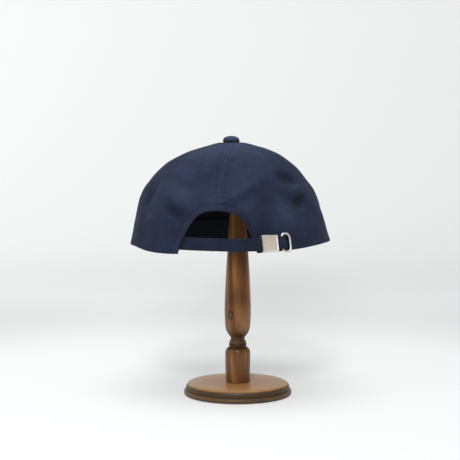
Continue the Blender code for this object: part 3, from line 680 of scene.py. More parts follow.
def makeCrown(material, inside):
    spec = crownSpec
    columns = crownColumns()
    ring, cap, top = spec["ringLevel"], spec["capLevel"], len(crownSections) - 1
    starts = [crownBoundary(degree) for degree in columns]
    targets = [math.radians((degree + 180) % 360 - 180) for degree in columns]
    rows = []
    for r in range(spec["lowerRows"]):
        share = r / spec["lowerRows"]
        rows.append([(a + (b - a) * share, low + (ring - low) * share)
                     for (a, low), b in zip(starts, targets)])
    for r in range(spec["middleRows"]):
        rows.append([(b, ring + (cap - ring) * r / spec["middleRows"]) for b in targets])
    for r in range(spec["upperRows"]):
        rows.append([(b, cap + (top - cap) * r / spec["upperRows"]) for b in targets])
    count = len(columns)
    outer = [[crownPoint(*spot) for spot in row] for row in rows]
    out = [[crownNormal(*spot) for spot in row] for row in rows]
    inner = [[point - way * spec["wall"] for point, way in zip(*pair)] for pair in zip(outer, out)]
    hem = spec["wall"] / 2
    rolls = []
    for degrees in spec["rollDegrees"]:
        swing = math.radians(degrees)
        roll = []
        for k in range(count):
            way = (outer[0][(k + 1) % count] - outer[0][k - 1]).normalized()
            down = out[0][k].cross(way).normalized() * -1
            roll.append(outer[0][k] - out[0][k] * hem * (1 - math.cos(swing)) + down * hem * math.sin(swing))
        rolls.append(roll)
    layers = inner[::-1] + rolls[::-1] + outer
    verts = [point for layer in layers for point in layer]
    faces = []
    for r in range(len(layers) - 1):
        low, high = r * count, (r + 1) * count
        faces += [(low + k, low + (k + 1) % count, high + (k + 1) % count, high + k) for k in range(count)]
    tipIn, tipOut = len(verts), len(verts) + 1
    tip = barePoint(0.0, top)
    verts += [tip - Vector((0, 0, spec["wall"])), tip]
    last = (len(layers) - 1) * count
    faces += [(k, tipIn, (k + 1) % count) for k in range(count)]
    faces += [(last + k, last + (k + 1) % count, tipOut) for k in range(count)]

    spots = rows[::-1] + [rows[0]] * len(rolls) + rows
    spots = [spot for row in spots for spot in row] + [(0.0, top)] * 2
    crown = newPiece("crownCloth", verts, faces, material, crownWeave(faces, spots))
    # the inside faces take the darker lining, painted shade
    crown.data.materials.append(inside)
    for face in crown.data.polygons[:(len(rows) - 1) * count]:
        face.material_index = 1

    paintCrown(crown, spots)
    cutSlot(crown, material)
    print("crown made")
    return place(crown, "cloth", "crown")


def cutSlot(crown, material):  # slot in the cloth behind the ring, where the strap's tail goes in
    halfWire = ringSpec["wire"] / 2
    left = ringMiddle() - ringSpec["width"] * ringSpec["slotLeft"]
    right = ringMiddle() + ringSpec["width"] / 2 - halfWire + gap
    middle = strapHeight(ringMiddle())
    deep, proud = -ringSpec["slotDepth"], ringSpec["wire"]
    verts = []
    for z in (middle - ringSpec["slotHeight"] / 2, middle + ringSpec["slotHeight"] / 2):
        for along, lift in ((left, deep), (right, deep), (right, proud), (left, proud)):
            verts.append(wallPoint(along, z, lift))
    faces = [(0, 1, 2, 3), (7, 6, 5, 4), (0, 4, 5, 1), (1, 5, 6, 2), (2, 6, 7, 3), (3, 7, 4, 0)]
    cutter = newPiece("slotCutter", verts, faces, material, smooth=False)
    turnOutward(cutter)
    hole = crown.modifiers.new("slot", "BOOLEAN")
    hole.operation = "DIFFERENCE"
    hole.solver = "EXACT"
    hole.object = cutter
    settle(crown)
    bpy.data.objects.remove(cutter, do_unlink=True)


def makeSeamStitches(material):
    spec = crownSpec
    top, last = spec["stitchTop"], spec["stitchPoints"] - 1
    aboveArch = levelAt(0.0, archCrest() + archSpec["bindingWidth"] + spec["stitchClear"])
    runs = []
    for panel in range(spec["panels"]):
        angle = panel * sector
        start = aboveArch if panel == 0 else spec["stitchFoot"]
        for side in (-1, 1):
            run = []
            for k in range(last + 1):
                level = start + (top - start) * k / last
                reach = rowAt(crownSections, level)[1] * spec["width"] / 2
                swing = min(spec["topstitch"] / reach, sector / 3)
                run.append((crownPoint(angle + side * swing, level), crownNormal(angle, level)))
            runs.append(run)
    return place(stitchPiece("seamStitches", runs, stitchSpec, material), "cloth")


# Button

buttonSpec = {
    "width": 0.0158, "height": 0.0056, "sides": 60, "pleats": 14, "pleatDepth": 0.00016,
    "pleatFrom": 0.04, "pleatFade": (0.20, 0.75),  # heights where the pleats start and fade
    "footDrop": 0.0003, "footShade": 0.6,  # its outer foot reaches down to the crown, in its own shade
    "turns": [
        Turn(0.00, 0.00), Turn(0.00, 0.88), Turn(0.02, 0.96), Turn(0.07, 1.00), Turn(0.20, 1.01),
        Turn(0.40, 0.99), Turn(0.60, 0.92), Turn(0.78, 0.76), Turn(0.91, 0.50), Turn(0.98, 0.22),
        Turn(1.00, 0.00),
    ],
}


def crownDrop(reach):  # how far the crown has fallen from its top at a distance from it
    low, high = 8.0, len(crownSections) - 1.0
    for _ in range(solveSpec["halvings"]):
        middle = (low + high) / 2
        if rowAt(crownSections, middle)[1] * crownSpec["width"] / 2 > reach:
            low = middle
        else:
            high = middle
    return crownTop - barePoint(0.0, middle).z


def makeButton(material):
    spec = buttonSpec
    top = barePoint(0.0, len(crownSections) - 1)
    profile = smoothProfile(spec["turns"], 2)
    rings = []
    for height, radius in profile[1:-1]:
        ring = []
        pleated = 1 - softStep(*spec["pleatFade"], height) if height > spec["pleatFrom"] else 0.0
        depth = spec["pleatDepth"] * pleated
        for k in range(spec["sides"]):
            turn = math.tau * k / spec["sides"]
            reach = radius * spec["width"] / 2 + depth * math.cos(turn * spec["pleats"])
            z = gap + height * spec["height"] - crownDrop(reach) * (1 - softStep(0.0, 0.7, height))
            z -= spec["footDrop"] * softStep(0.85, 1.0, radius) * (1 - softStep(0.0, 0.35, height))
            ring.append(top + Vector((math.cos(turn) * reach, math.sin(turn) * reach, z)))
        rings.append(ring)
    button = loopedMesh("clothButton", rings, material)
    heights = [(vert.co.z - top.z) / spec["height"] for vert in button.data.vertices]
    # paler towards its top from wear and painted highlight; painted shade at its foot
    setWearLightAndShade(button, [softStep(0.0, 0.5, height) for height in heights],
            [spec["footShade"] * (1 - softStep(0.0, 0.35, height)) for height in heights])
    print("button made")
    return place(button, "cloth", "top_button")


# Arch at the back and its binding

archSpec = {
    "width": 0.0750, "height": 0.0390, "offset": -0.0040,
    "bindingWidth": 0.0048, "bindingThickness": 0.0010,
    "clothInset": 0.0014,      # the cloth stops this far short of the binding's folded edge
    "lip": 0.0011,             # thickness of the binding round the cloth's edge
    "stitchIn": 0.0009,        # binding's stitch line, in from its outer edge
    "secondLine": 0.0066,      # line of stitches on the crown beyond the binding
    "steps": 9,
    "edgeWear": 0.40, "faceWear": 0.12,
    "shade": 0.20, "rightShade": 0.65, "rightReach": 0.45,  # painted shade on it, and how much more of it lies to its right
}

archOutline = [
    Arch(0.00, 1.010, 0.995),
    Arch(0.10, 0.990, 0.972),
    Arch(0.24, 0.945, 0.925),
    Arch(0.46, 0.835, 0.868),
    Arch(0.65, 0.722, 0.780),
    Arch(0.79, 0.610, 0.690),
    Arch(0.90, 0.470, 0.545),
    Arch(0.97, 0.290, 0.330),
    Arch(1.00, 0.060, 0.080),
]


def archCrest():
    return rimLevel + rimRise(angleAt(archSpec["offset"])) + archSpec["height"]


def archHalf(side):
    half = archSpec["width"] / 2
    base = rimLevel + rimRise(angleAt(archSpec["offset"] + side * half))
    points = []
    steps = archSpec["steps"]
    for k in range(steps * (len(archOutline) - 1) + 1):
        height, left, right = rowAt(archOutline, k / steps)
        share = -left if side < 0 else right
        points.append((archSpec["offset"] + share * half, base + height * (archCrest() - base)))
    return points


def archSideLine(side):  # distance run, distance round and height, from above the back seam to the foot
    crest = (0.0, archCrest())
    line = [crest] + [spot for spot in archHalf(side)[::-1] if spot[0] * side > 0.0005]
    run, gone = [], 0.0
    for k, (along, z) in enumerate(line):
        if k:
            gone += math.hypot(along - line[k - 1][0], z - line[k - 1][1])
        run.append((gone, along, z))
    return run


archLines = {side: archSideLine(side) for side in (-1, 1)}


def archFrames():
    outline = archHalf(-1) + archHalf(1)[::-1]
    frames = []
    for k, spot in enumerate(outline):
        before = Vector(outline[max(k - 1, 0)])
        after = Vector(outline[min(k + 1, len(outline) - 1)])
        way = (after - before).normalized()
        frames.append((Vector(spot), Vector((-way.y, way.x))))
    return frames


def makeBinding(material):
    spec = archSpec
    width, thick, lip, wall = spec["bindingWidth"], spec["bindingThickness"], spec["lip"], crownSpec["wall"]
    top = gap + thick
    section = [  # across from its folded edge, and out from the cloth
        (width, gap), (width + 0.0001, gap + 0.4 * thick), (width - 0.0001, gap + 0.8 * thick),
        (width - 0.0004, top), (width - spec["stitchIn"], top - 0.0001), (width - 0.0016, top + 0.0001),
        (0.5 * width, top + 0.00015), (0.0011, top + 0.0001), (0.0004, top - 0.0001),
        (0.0001, gap + 0.5 * thick), (0.0, 0.0), (0.0, -0.5 * wall),
        (0.0001, -0.9 * wall), (0.0005, -wall), (0.0009, -0.95 * wall),
        (lip, -0.8 * wall), (lip, 0.0), (lip, gap),
    ]
    wear = [0.0] * len(section)
    for k in (2, 3, 8, 9):  # the section's two outer edges
        wear[k] = spec["edgeWear"]
    for k in (5, 6, 7):  # its face between them
        wear[k] = spec["faceWear"]
    rings, worn, creased = [], [], []
    for spot, aside in archFrames():
        rings.append([wallPoint(*(spot + aside * a), lift) for a, lift in section])
        # painted shade over the binding, more of it towards the right
        rightward = softStep(0.0, spec["rightReach"] * spec["width"], spot[0] - spec["offset"])
        worn += wear
        creased += [spec["shade"] + spec["rightShade"] * rightward] * len(section)
    binding = loopedMesh("archBinding", rings, material)
    setWearLightAndShade(binding, worn, creased)
    print("binding made")
    return place(binding, "cloth", "arch_binding")


def makeArchStitches(material):
    spec = archSpec
    runs = []
    for offset, lift in ((spec["bindingWidth"] - spec["stitchIn"], gap + spec["bindingThickness"] - 0.0001),
                         (spec["secondLine"], 0.0)):
        run = []
        for spot, aside in archFrames():
            along, z = spot + aside * offset
            angle = angleAt(along)
            run.append((wallPoint(along, z, lift), crownNormal(angle, levelAt(angle, z))))
        runs.append(run)
    return place(stitchPiece("archStitches", runs, stitchSpec, material), "cloth")


# Strap, its tab, the clasp and the ring

strapSpec = {
    "width": 0.0118, "thickness": 0.0013, "hidden": 0.0160, "tailWidth": 0.0106, "tailHidden": 0.0090,
    "stitchIn": 0.0014, "stitchLength": 0.0020, "stitchRadius": 0.0002, "stitchLift": 0.43, "stitchEnd": 3,
    "levels": (0.47, 0.34, 0.48),  # heights at its left, the arch's edge and the ring, in widths over the rim
    "steps": 12, "edgeWear": 0.55, "edgeFrom": 0.86, "faceWear": 0.05,
}
tabSpec = {"width": 0.0100, "thickness": 0.0010, "inside": 0.6, "turnDegrees": (0, 35, 70, 110, 145, 180)}
claspSpec = {
    "width": 0.0150, "height": 0.0150, "plate": 0.0007, "border": 0.0012, "offset": 0.0082,
    "sink": 0.6, "bevel": 0.00022, "taper": 0.07, "follow": 0.6, "sharpDegrees": 50,
}
ringSpec = {
    "width": 0.0106, "height": 0.0186, "wire": 0.0020, "offset": 0.0052, "squareness": 3.4,
    "slotHeight": 0.0112, "slotLeft": 0.12, "slotDepth": 0.0045, "points": 96, "sides": 16,
}


def archRightEdge():
    return archSpec["offset"] + archOutline[3].right * archSpec["width"] / 2


def claspMiddle():
    return archRightEdge() + claspSpec["offset"] + claspSpec["width"] / 2


def ringMiddle():
    return claspMiddle() + claspSpec["width"] / 2 + ringSpec["offset"] + ringSpec["width"] / 2


def strapHeight(along):
    width = strapSpec["width"]
    start = archSpec["offset"] - archSpec["width"] / 2
    dip, end = archRightEdge(), ringMiddle()
    startZ, dipZ, endZ = (rimLevel + width * share for share in strapSpec["levels"])
    if along < dip:
        share = max(0.0, (along - start) / (dip - start))
        return startZ + (dipZ - startZ) * share ** 1.5
    return dipZ + (endZ - dipZ) * min(1.5, (along - dip) / (end - dip))


def underWall(thickness):
    return -(crownSpec["wall"] + gap + thickness / 2)


def tabLift():
    return 2 * gap + archSpec["bindingThickness"] + tabSpec["thickness"] / 2


def claspFoot():
    return tabLift() + tabSpec["thickness"] / 2 + gap


def strapInClasp():
    return claspFoot() + claspSpec["plate"] + 2 * gap + strapSpec["thickness"] / 2


def bandSection(width, thickness, stitchIn):  # soft-edged section of a flat band: across and out
    half, thick = width / 2, thickness / 2
    face = [
        (half, 0.0), (half - 0.00008, 0.55 * thick), (half - 0.0003, 0.88 * thick), (half - 0.0007, thick),
        (half - stitchIn, thick * 0.80), (half - stitchIn - 0.0006, thick), (half * 0.4, thick * 1.10),
    ]
    upper = face + [(0.0, thick * 1.12)] + [(-a, lift) for a, lift in face[::-1]]
    lower = [(a, -lift) for a, lift in upper[1:-1][::-1]]
    return upper + lower


def bandPiece(name, stations, section, material):  # stations give the band's low, middle and high edges
    rings = []
    count = len(stations)
    for k, (low, middle, high) in enumerate(stations):
        way = stations[min(k + 1, count - 1)][1] - stations[max(k - 1, 0)][1]
        across = high - low
        half = across.length / 2
        out = way.cross(across).normalized()
        ring = []
        for a, lift in section:
            share = a / half
            point = middle + (high - low) * share / 2 + (high + low - 2 * middle) * share * share / 2
            ring.append(point + out * lift)
        rings.append(ring)
    return loopedMesh(name, rings, material)


def bandStations(stops, steps):
    stations = []
    for k in range(steps * (len(stops) - 1) + 1):
        along, lift, level, width = rowAt(stops, k / steps)
        stations.append([wallPoint(along, level + share * width / 2, lift) for share in (-1, 0, 1)])
    return stations


def bandWear(piece, section, rings):
    spec = strapSpec
    edge = max(a for a, _ in section)
    wear = []
    for a, _ in section:
        wear.append(spec["edgeWear"] * softStep(spec["edgeFrom"], 1.0, abs(a) / edge) + spec["faceWear"])
    setWearLightAndShade(piece, wear * rings)


def makeTab(material):
    edge = archRightEdge()
    inside, outside = underWall(tabSpec["thickness"]), tabLift()
    turn, middle = (outside - inside) / 2, (outside + inside) / 2
    stops = [(edge + claspSpec["width"] * tabSpec["inside"], inside), (edge + turn, inside)]
    for degrees in tabSpec["turnDegrees"]:
        swing = math.radians(degrees)
        stops.append((edge - turn * math.sin(swing), middle - turn * math.cos(swing)))
    stops += [(edge + turn, outside), (claspMiddle(), outside)]
    level = strapHeight(edge)
    rows = [(along, lift, level, tabSpec["width"]) for along, lift in stops]
    stations = bandStations(rows, 4)
    section = bandSection(tabSpec["width"], tabSpec["thickness"], strapSpec["stitchIn"])
    tab = bandPiece("claspTab", stations, section, material)
    bandWear(tab, section, len(stations))
    return place(tab, "cloth", "clasp_tab")


def strapStops():
    spec = strapSpec
    inside = underWall(spec["thickness"])
    left, edge, high = archSpec["offset"] - archSpec["width"] / 2, archRightEdge(), strapInClasp()
    wire = ringSpec["wire"]
    overRing = 2 * gap + wire + spec["thickness"] / 2 + 2 * gap
    ring, halfRing = ringMiddle(), ringSpec["width"] / 2 - wire / 2
    turn = (tabLift() - inside) / 2 + tabSpec["thickness"] + spec["thickness"]
    middle, halfClasp = claspMiddle(), claspSpec["width"] / 2
    route = [  # place round the crown and lift from it, from the left flap to the slot
        (left - spec["hidden"], inside),
        (left - spec["hidden"] / 2, inside),
        (left + spec["thickness"], inside),
        (left * 0.6 + edge * 0.4, inside * 0.75),
        (left * 0.3 + edge * 0.7, inside * 0.35),
        (edge - turn * 1.7, high * 0.18),
        (edge - turn * 0.85, high * 0.66),
        (edge - turn * 0.1, high * 1.02),
        (edge + turn, high * 1.03),
        (middle - halfClasp, high),
        (middle, high),
        (middle + halfClasp, high),
        (ring - halfRing - wire * 0.3, max(overRing, high * 0.9)),
        (ring - halfRing * 0.62, overRing * 0.87),
        (ring - halfRing * 0.10, overRing * 0.27),
        (ring + halfRing * 0.42, inside * 0.55),
        (ring + halfRing * 0.95, inside),
        (ring + halfRing + spec["tailHidden"] * 0.5, inside * 1.02),
        (ring + halfRing + spec["tailHidden"], inside * 1.02),
    ]
    return [(along, lift, strapHeight(along), spec["width"] if along < middle else spec["tailWidth"])
            for along, lift in route]


def makeStrap(material):
    spec = strapSpec
    stations = bandStations(strapStops(), spec["steps"])
    section = bandSection(spec["width"], spec["thickness"], spec["stitchIn"])
    strap = bandPiece("backStrap", stations, section, material)
    bandWear(strap, section, len(stations))
    runs = []
    for side in (-1, 1):
        run = []
        for k in range(spec["stitchEnd"], len(stations) - spec["stitchEnd"]):
            low, middle, high = stations[k]
            way = stations[k + 1][1] - stations[k - 1][1]
            out = way.cross(high - low).normalized()
            share = side * (1 - 2 * spec["stitchIn"] / (high - low).length)
            point = middle + (high - low) * share / 2 + (high + low - 2 * middle) * share * share / 2
            run.append((point + out * spec["thickness"] * spec["stitchLift"], out))
        runs.append(run)
    length = sum((b[1] - a[1]).length for a, b in zip(stations, stations[1:]))
    print("strap length", round(length, 4))
    place(strap, "cloth", "back_strap")
    small = dict(stitchSpec, length=spec["stitchLength"], radius=spec["stitchRadius"])
    stitches = stitchPiece("strapStitches", runs, small, material)
    place(stitches, "cloth")
    return strap


def wallFrame(along, z, lift):  # X runs round the crown, Y up it and Z out of it
    step = solveSpec["frameStep"]
    origin = wallPoint(along, z, lift)
    around = wallPoint(along + step, z, lift) - wallPoint(along - step, z, lift)
    upward = wallPoint(along, z + step, lift) - wallPoint(along, z - step, lift)
    out = around.cross(upward).normalized()
    around.normalize()
    upward = out.cross(around)
    placed = Matrix((around, upward, out)).transposed().to_4x4()
    placed.translation = origin
    return placed


def makeClasp(material, plateMaterial):  # a flat frame that the strap runs through, its face sunk in a border
    spec = claspSpec
    rise = strapHeight(ringMiddle()) - strapHeight(archRightEdge())
    lean = math.atan2(rise, ringMiddle() - archRightEdge())
    middle = claspMiddle()
    insideLow = spec["plate"]
    insideHigh = insideLow + strapSpec["thickness"] + 5 * gap
    outsideHigh = insideHigh + spec["plate"]
    side = (spec["height"] - strapSpec["width"] - 4 * gap) / 2
    work = bmesh.new()

    def loop(halfWidth, low, high, x):
        corners = ((low, -halfWidth), (low, halfWidth), (high, halfWidth), (high, -halfWidth))
        return [work.verts.new((x, across, up)) for up, across in corners]

    ends = []
    for x in (-spec["width"] / 2, spec["width"] / 2):
        ends.append((loop(spec["height"] / 2, 0.0, outsideHigh, x),
                     loop(spec["height"] / 2 - side, insideLow, insideHigh, x)))
    (outerA, innerA), (outerB, innerB) = ends
    plate = None
    for k in range(4):
        after = (k + 1) % 4
        panel = work.faces.new((outerA[k], outerA[after], outerB[after], outerB[k]))
        plate = panel if k == 2 else plate
        work.faces.new((innerA[after], innerA[k], innerB[k], innerB[after]))
        work.faces.new((outerA[after], outerA[k], innerA[k], innerA[after]))
        work.faces.new((outerB[k], outerB[after], innerB[after], innerB[k]))
    bmesh.ops.recalc_face_normals(work, faces=work.faces)
    bmesh.ops.inset_individual(work, faces=[plate], thickness=spec["border"])
    bmesh.ops.translate(work, verts=plate.verts, vec=(0, 0, -spec["plate"] * spec["sink"]))
    plate.material_index = 1
    bmesh.ops.bevel(work, geom=work.edges[:], offset=spec["bevel"], segments=3, profile=0.5, affect="EDGES")
    for vert in work.verts:
        vert.co.y *= 1 - spec["taper"] * vert.co.x / spec["width"]
    bmesh.ops.transform(work, matrix=Matrix.Rotation(lean * spec["follow"], 4, "Z"), verts=work.verts)
    bmesh.ops.transform(work, matrix=wallFrame(middle, strapHeight(middle), claspFoot()), verts=work.verts)
    mesh = bpy.data.meshes.new("slideClasp")
    work.to_mesh(mesh)
    work.free()
    mesh.materials.append(material)
    mesh.materials.append(plateMaterial)
    mesh.shade_smooth()
    mesh.set_sharp_from_angle(angle=math.radians(spec["sharpDegrees"]))
    return place(link(bpy.data.objects.new("slideClasp", mesh)), "metal", "clasp")


def makeRing(material):  # round wire bent to a rounded oblong
    spec = ringSpec
    half = ((spec["width"] - spec["wire"]) / 2, (spec["height"] - spec["wire"]) / 2)
    power = 2 / spec["squareness"]
    placed = wallFrame(ringMiddle(), strapHeight(ringMiddle()), 1.5 * gap + spec["wire"] / 2)
    route = []
    for k in range(spec["points"]):
        turn = math.tau * k / spec["points"]
        x = math.copysign(abs(math.cos(turn)) ** power, math.cos(turn)) * half[0]
        y = math.copysign(abs(math.sin(turn)) ** power, math.sin(turn)) * half[1]
        route.append(Vector((x, y, 0.0)))
    rings = []
    for k, point in enumerate(route):
        way = (route[(k + 1) % len(route)] - route[k - 1]).normalized()
        side = way.cross(Vector((0, 0, 1)))
        ring = []
        for n in range(spec["sides"]):
            turn = math.tau * n / spec["sides"]
            offset = side * math.cos(turn) + Vector((0, 0, 1)) * math.sin(turn)
            ring.append(placed @ (point + offset * spec["wire"] / 2))
        rings.append(ring)
    ring = loopedMesh("tuckRing", rings, material, closed=True)
    return place(ring, "metal", "tuck_ring")


# Sweatband

bandSpec = {
    "height": 0.0200, "thickness": 0.0012, "columns": 72, "fine": 4, "wear": 0.1,
    "past": 0.8,               # it ends this many columns short of the arch's edges
    "hang": 0.0024,            # how far its lower edge hangs down at the front
}
bandOutline = [  # up the band and out of it, in halves of its height and thickness
    (-1.0, 0.0), (-0.985, -1.0), (-0.9, -1.1), (-0.5, -1.0), (0.0, -1.05), (0.5, -1.0), (0.9, -1.1),
    (0.985, -1.0), (1.0, 0.0), (0.985, 1.0), (0.9, 1.0), (0.5, 1.0), (0.0, 1.0), (-0.5, 1.0), (-0.9, 1.0),
    (-0.985, 1.0),
]


def makeSweatband(material):
    spec = bandSpec
    column = math.tau / spec["columns"]
    leftEnd = angleAt(archSpec["offset"] - archSpec["width"] / 2) - column * spec["past"] + math.tau
    rightEnd = angleAt(archRightEdge()) + column * spec["past"]
    flat = -(crownSpec["wall"] + gap)
    deepRight = angleAt(ringMiddle() + ringSpec["width"] / 2 + strapSpec["tailHidden"])
    deepLeft = angleAt(archSpec["offset"] - archSpec["width"] / 2 - strapSpec["hidden"]) + math.tau
    count = int((leftEnd - rightEnd) / column * spec["fine"])
    rings = []
    half = spec["thickness"] / 2
    for k in range(count + 1):
        angle = rightEnd + (leftEnd - rightEnd) * k / count
        behind = 1 - softStep(0.0, column, angle - deepRight) + softStep(-column, 0.0, angle - deepLeft)
        lift = flat - half - (strapSpec["thickness"] + 3 * gap) * behind
        rim = rimLevel + rimRise(angle)
        ring = []
        for share, out in bandOutline:
            hang = spec["hang"] * softStep(-0.2, -0.8, math.cos(angle)) * (1 - share) / 2
            z = rim + 2 * gap + (share + 1) / 2 * spec["height"] - hang
            level = levelAt(angle, z)
            point = crownPoint(angle, level, lift + out * half)
            point.z += z - barePoint(angle, level).z
            ring.append(point)
        rings.append(ring)
    band = loopedMesh("sweatBand", rings, material)
    setWearLightAndShade(band, [spec["wear"]] * len(band.data.vertices))
    print("sweatband made")
    return place(band, "lining", "sweatband")


# Peak

peakSpec = {
    "reach": 0.0670, "thickness": 0.0030, "spread": math.radians(64), "slope": math.radians(9), "bend": 0.45,
    "tuck": 0.0008,            # how far its inner edge goes into the seam with the crown
    "roundness": 0.85, "fall": 1.2,        # powers of its outline and of its slope
    "across": 96, "outward": 30, "edgeRound": 0.55, "sideRound": 0.90, "sideStart": 0.25,
    "edgeWear": 0.60, "edgeFrom": 0.90, "faceWear": 0.10,
    "stitchRows": 6, "stitchGap": 0.0085, "firstRow": 0.6, "stitchEnd": 3, "stitchFoot": 0.04, "fewest": 8,
}


def peakFoot(share):
    angle = math.pi - share * peakSpec["spread"]
    foot = crownPoint(angle, 0.0, -peakSpec["tuck"])
    foot.z = rimLevel + rimRise(angle) + peakSpec["thickness"]
    return foot


def makePeak(material):
    spec = peakSpec
    ends = (peakFoot(-1.0), peakFoot(1.0))
    middle = (ends[0] + ends[1]) / 2
    front = peakFoot(0.0).y + spec["reach"]

    def surface(share, reach):
        foot = peakFoot(share)
        end = ends[1] if share > 0 else ends[0]
        turn = abs(share) * math.pi / 2
        side = middle.x + (end.x - middle.x) * math.sin(turn)
        edge = end.y + spec["thickness"] + (front - end.y) * max(0.0, math.cos(turn)) ** spec["roundness"]
        way = Vector((side - foot.x, edge - foot.y, 0.0))
        fall = way.length * math.tan(spec["slope"]) * (1 + spec["bend"] * share ** 2)
        return foot + way * reach - Vector((0.0, 0.0, fall * reach ** spec["fall"]))

    across, outward = spec["across"], spec["outward"]
    grid = [[surface(1 - 2 * c / across, r / outward) for c in range(across + 1)] for r in range(outward + 1)]
    half = spec["thickness"] / 2
    upper, lower = [], []
    for r in range(outward + 1):
        top, bottom = [], []
        for c in range(across + 1):
            fromSide = min(c, across - c) * spec["sideRound"] + spec["sideStart"]
            fullness = min(1.0, (outward - r) * spec["edgeRound"], fromSide)
            inset = half * (1 - math.sqrt(max(0.0, 1 - (1 - fullness) ** 2)))
            top.append(grid[r][c] - Vector((0, 0, inset)))
            bottom.append(grid[r][c] - Vector((0, 0, spec["thickness"] - inset)))
        upper.append(top)
        lower.append(bottom)
    count = across + 1
    verts = [p for row in upper for p in row] + [p for row in lower for p in row]
    shift = count * (outward + 1)
    faces = []
    for r in range(outward):
        for c in range(across):
            a, b = r * count + c, r * count + c + 1
            faces.append((a, a + count, b + count, b))
            faces.append((shift + a, shift + b, shift + b + count, shift + a + count))
    border = list(range(count)) + [r * count + across for r in range(1, outward + 1)]
    border += [outward * count + c for c in range(across - 1, -1, -1)]
    border += [r * count for r in range(outward - 1, 0, -1)]
    for k, a in enumerate(border):
        b = border[(k + 1) % len(border)]
        faces.append((a, b, shift + b, shift + a))
    uvs = [[(verts[k].x, verts[k].y) for k in face] for face in faces]
    peak = newPiece("peakBoard", verts, faces, material, uvs)
    turnOutward(peak)
    wear = []
    for r in range(outward + 1):
        wear += [spec["edgeWear"] * softStep(spec["edgeFrom"], 1.0, r / outward) + spec["faceWear"]] * count
    setWearLightAndShade(peak, wear * 2)
    runs = []
    for row in range(spec["stitchRows"]):
        run = []
        for c in range(across - spec["stitchEnd"], spec["stitchEnd"] - 1, -1):
            share = 1 - 2 * c / across
            length = (surface(share, 1.0) - surface(share, 0.0)).length
            reach = 1 - (row + spec["firstRow"]) * spec["stitchGap"] / max(length, spec["stitchGap"])
            if reach > spec["stitchFoot"]:
                run.append((surface(share, reach), Vector((0, 0, 1))))
        if len(run) > spec["fewest"]:
            runs.append(run)
    place(stitchPiece("peakStitches", runs, stitchSpec, material), "cloth")
    print("peak made")
    return place(peak, "cloth", "peak")


# Stand

postSpec = {
    "radius": 0.0129, "knobRadius": 0.0160, "knobHeight": 0.0130, "sides": 96,
    "turns": [
        Turn(0.000, 0.915), Turn(0.055, 0.935), Turn(0.095, 0.952), Turn(0.130, 0.958), Turn(0.139, 0.938),
        Turn(0.146, 0.885), Turn(0.152, 0.790), Turn(0.1565, 0.690), Turn(0.159, 0.620), Turn(0.161, 0.618),
        Turn(0.163, 0.665), Turn(0.167, 0.685), Turn(0.171, 0.668), Turn(0.173, 0.625), Turn(0.175, 0.624),
        Turn(0.1775, 0.650), Turn(0.1815, 0.640), Turn(0.185, 0.575), Turn(0.1885, 0.530), Turn(0.195, 0.525),
        Turn(0.202, 0.548), Turn(0.212, 0.690), Turn(0.226, 0.840), Turn(0.241, 0.920), Turn(0.258, 0.960),
        Turn(0.310, 0.998), Turn(0.345, 0.992), Turn(0.420, 0.945), Turn(0.500, 0.880), Turn(0.565, 0.810),
        Turn(0.660, 0.700), Turn(0.800, 0.565), Turn(0.940, 0.440), Turn(1.000, 0.420),
    ],
    "knobTurns": [
        Turn(0.10, 0.72), Turn(0.24, 0.93), Turn(0.40, 1.00), Turn(0.58, 0.95), Turn(0.76, 0.78),
        Turn(0.90, 0.52), Turn(0.98, 0.22),
    ],
    "grooveSight": 0.006, "grooveDepth": 0.0034, "woodShade": 0.85,  # painted shade lies in its grooves
}
baseSpec = {
    "sides": 160,
    "edgeFrom": (0.90, 0.955), "edgeTop": (0.86, 0.97),  # painted shade on its sides, in shares of radius and height
    # more painted shade in its groove
    "groove": 0.455, "grooveWidth": 0.05, "grooveShade": 0.5, "upperShade": 0.97, "lowerFade": 0.50,
    "paleFrom": (0.35, 0.90), "pale": 0.42, "paleBack": 0.30, "paleRight": -0.12,  # its paler top: painted reflection, stronger towards the back and weaker to the right
    "turns": [
        Turn(0.00, 0.0), Turn(0.00, 0.975), Turn(0.07, 0.997), Turn(0.30, 1.000), Turn(0.38, 0.988),
        Turn(0.43, 0.952), Turn(0.47, 0.949), Turn(0.52, 0.962), Turn(0.72, 0.958), Turn(0.88, 0.935),
        Turn(0.97, 0.895), Turn(1.00, 0.845), Turn(1.00, 0.0),
    ],
}


cornerCut = 0.22
sharpAngle = math.radians(60)


def smoothProfile(turns, rounds):  # rounds a profile's corners by cutting them, with its ends kept
    near, far = 1 - cornerCut, cornerCut
    points = [(turn.height, turn.radius) for turn in turns]
    for _ in range(rounds):
        cut = [points[0]]
        for (h0, r0), (h1, r1) in zip(points, points[1:]):
            cut.append((h0 * near + h1 * far, r0 * near + r1 * far))
            cut.append((h0 * far + h1 * near, r0 * far + r1 * near))
        points = cut + [points[-1]]
    return points


def turnedPiece(name, profile, sides, material):
    rings = []
    for height, radius in profile:
        rings.append([Vector((math.cos(t) * radius, math.sin(t) * radius, height))
                      for t in (math.tau * k / sides for k in range(sides))])
    return loopedMesh(name, rings, material)


def sinkOf(profile, window):  # how far each row lies in a groove, against the profile around it
    sinks = []
    for height, radius in profile:
        near = [r for h, r in profile if abs(h - height) < window]
        sinks.append(max(0.0, max(near) - radius))
    return sinks


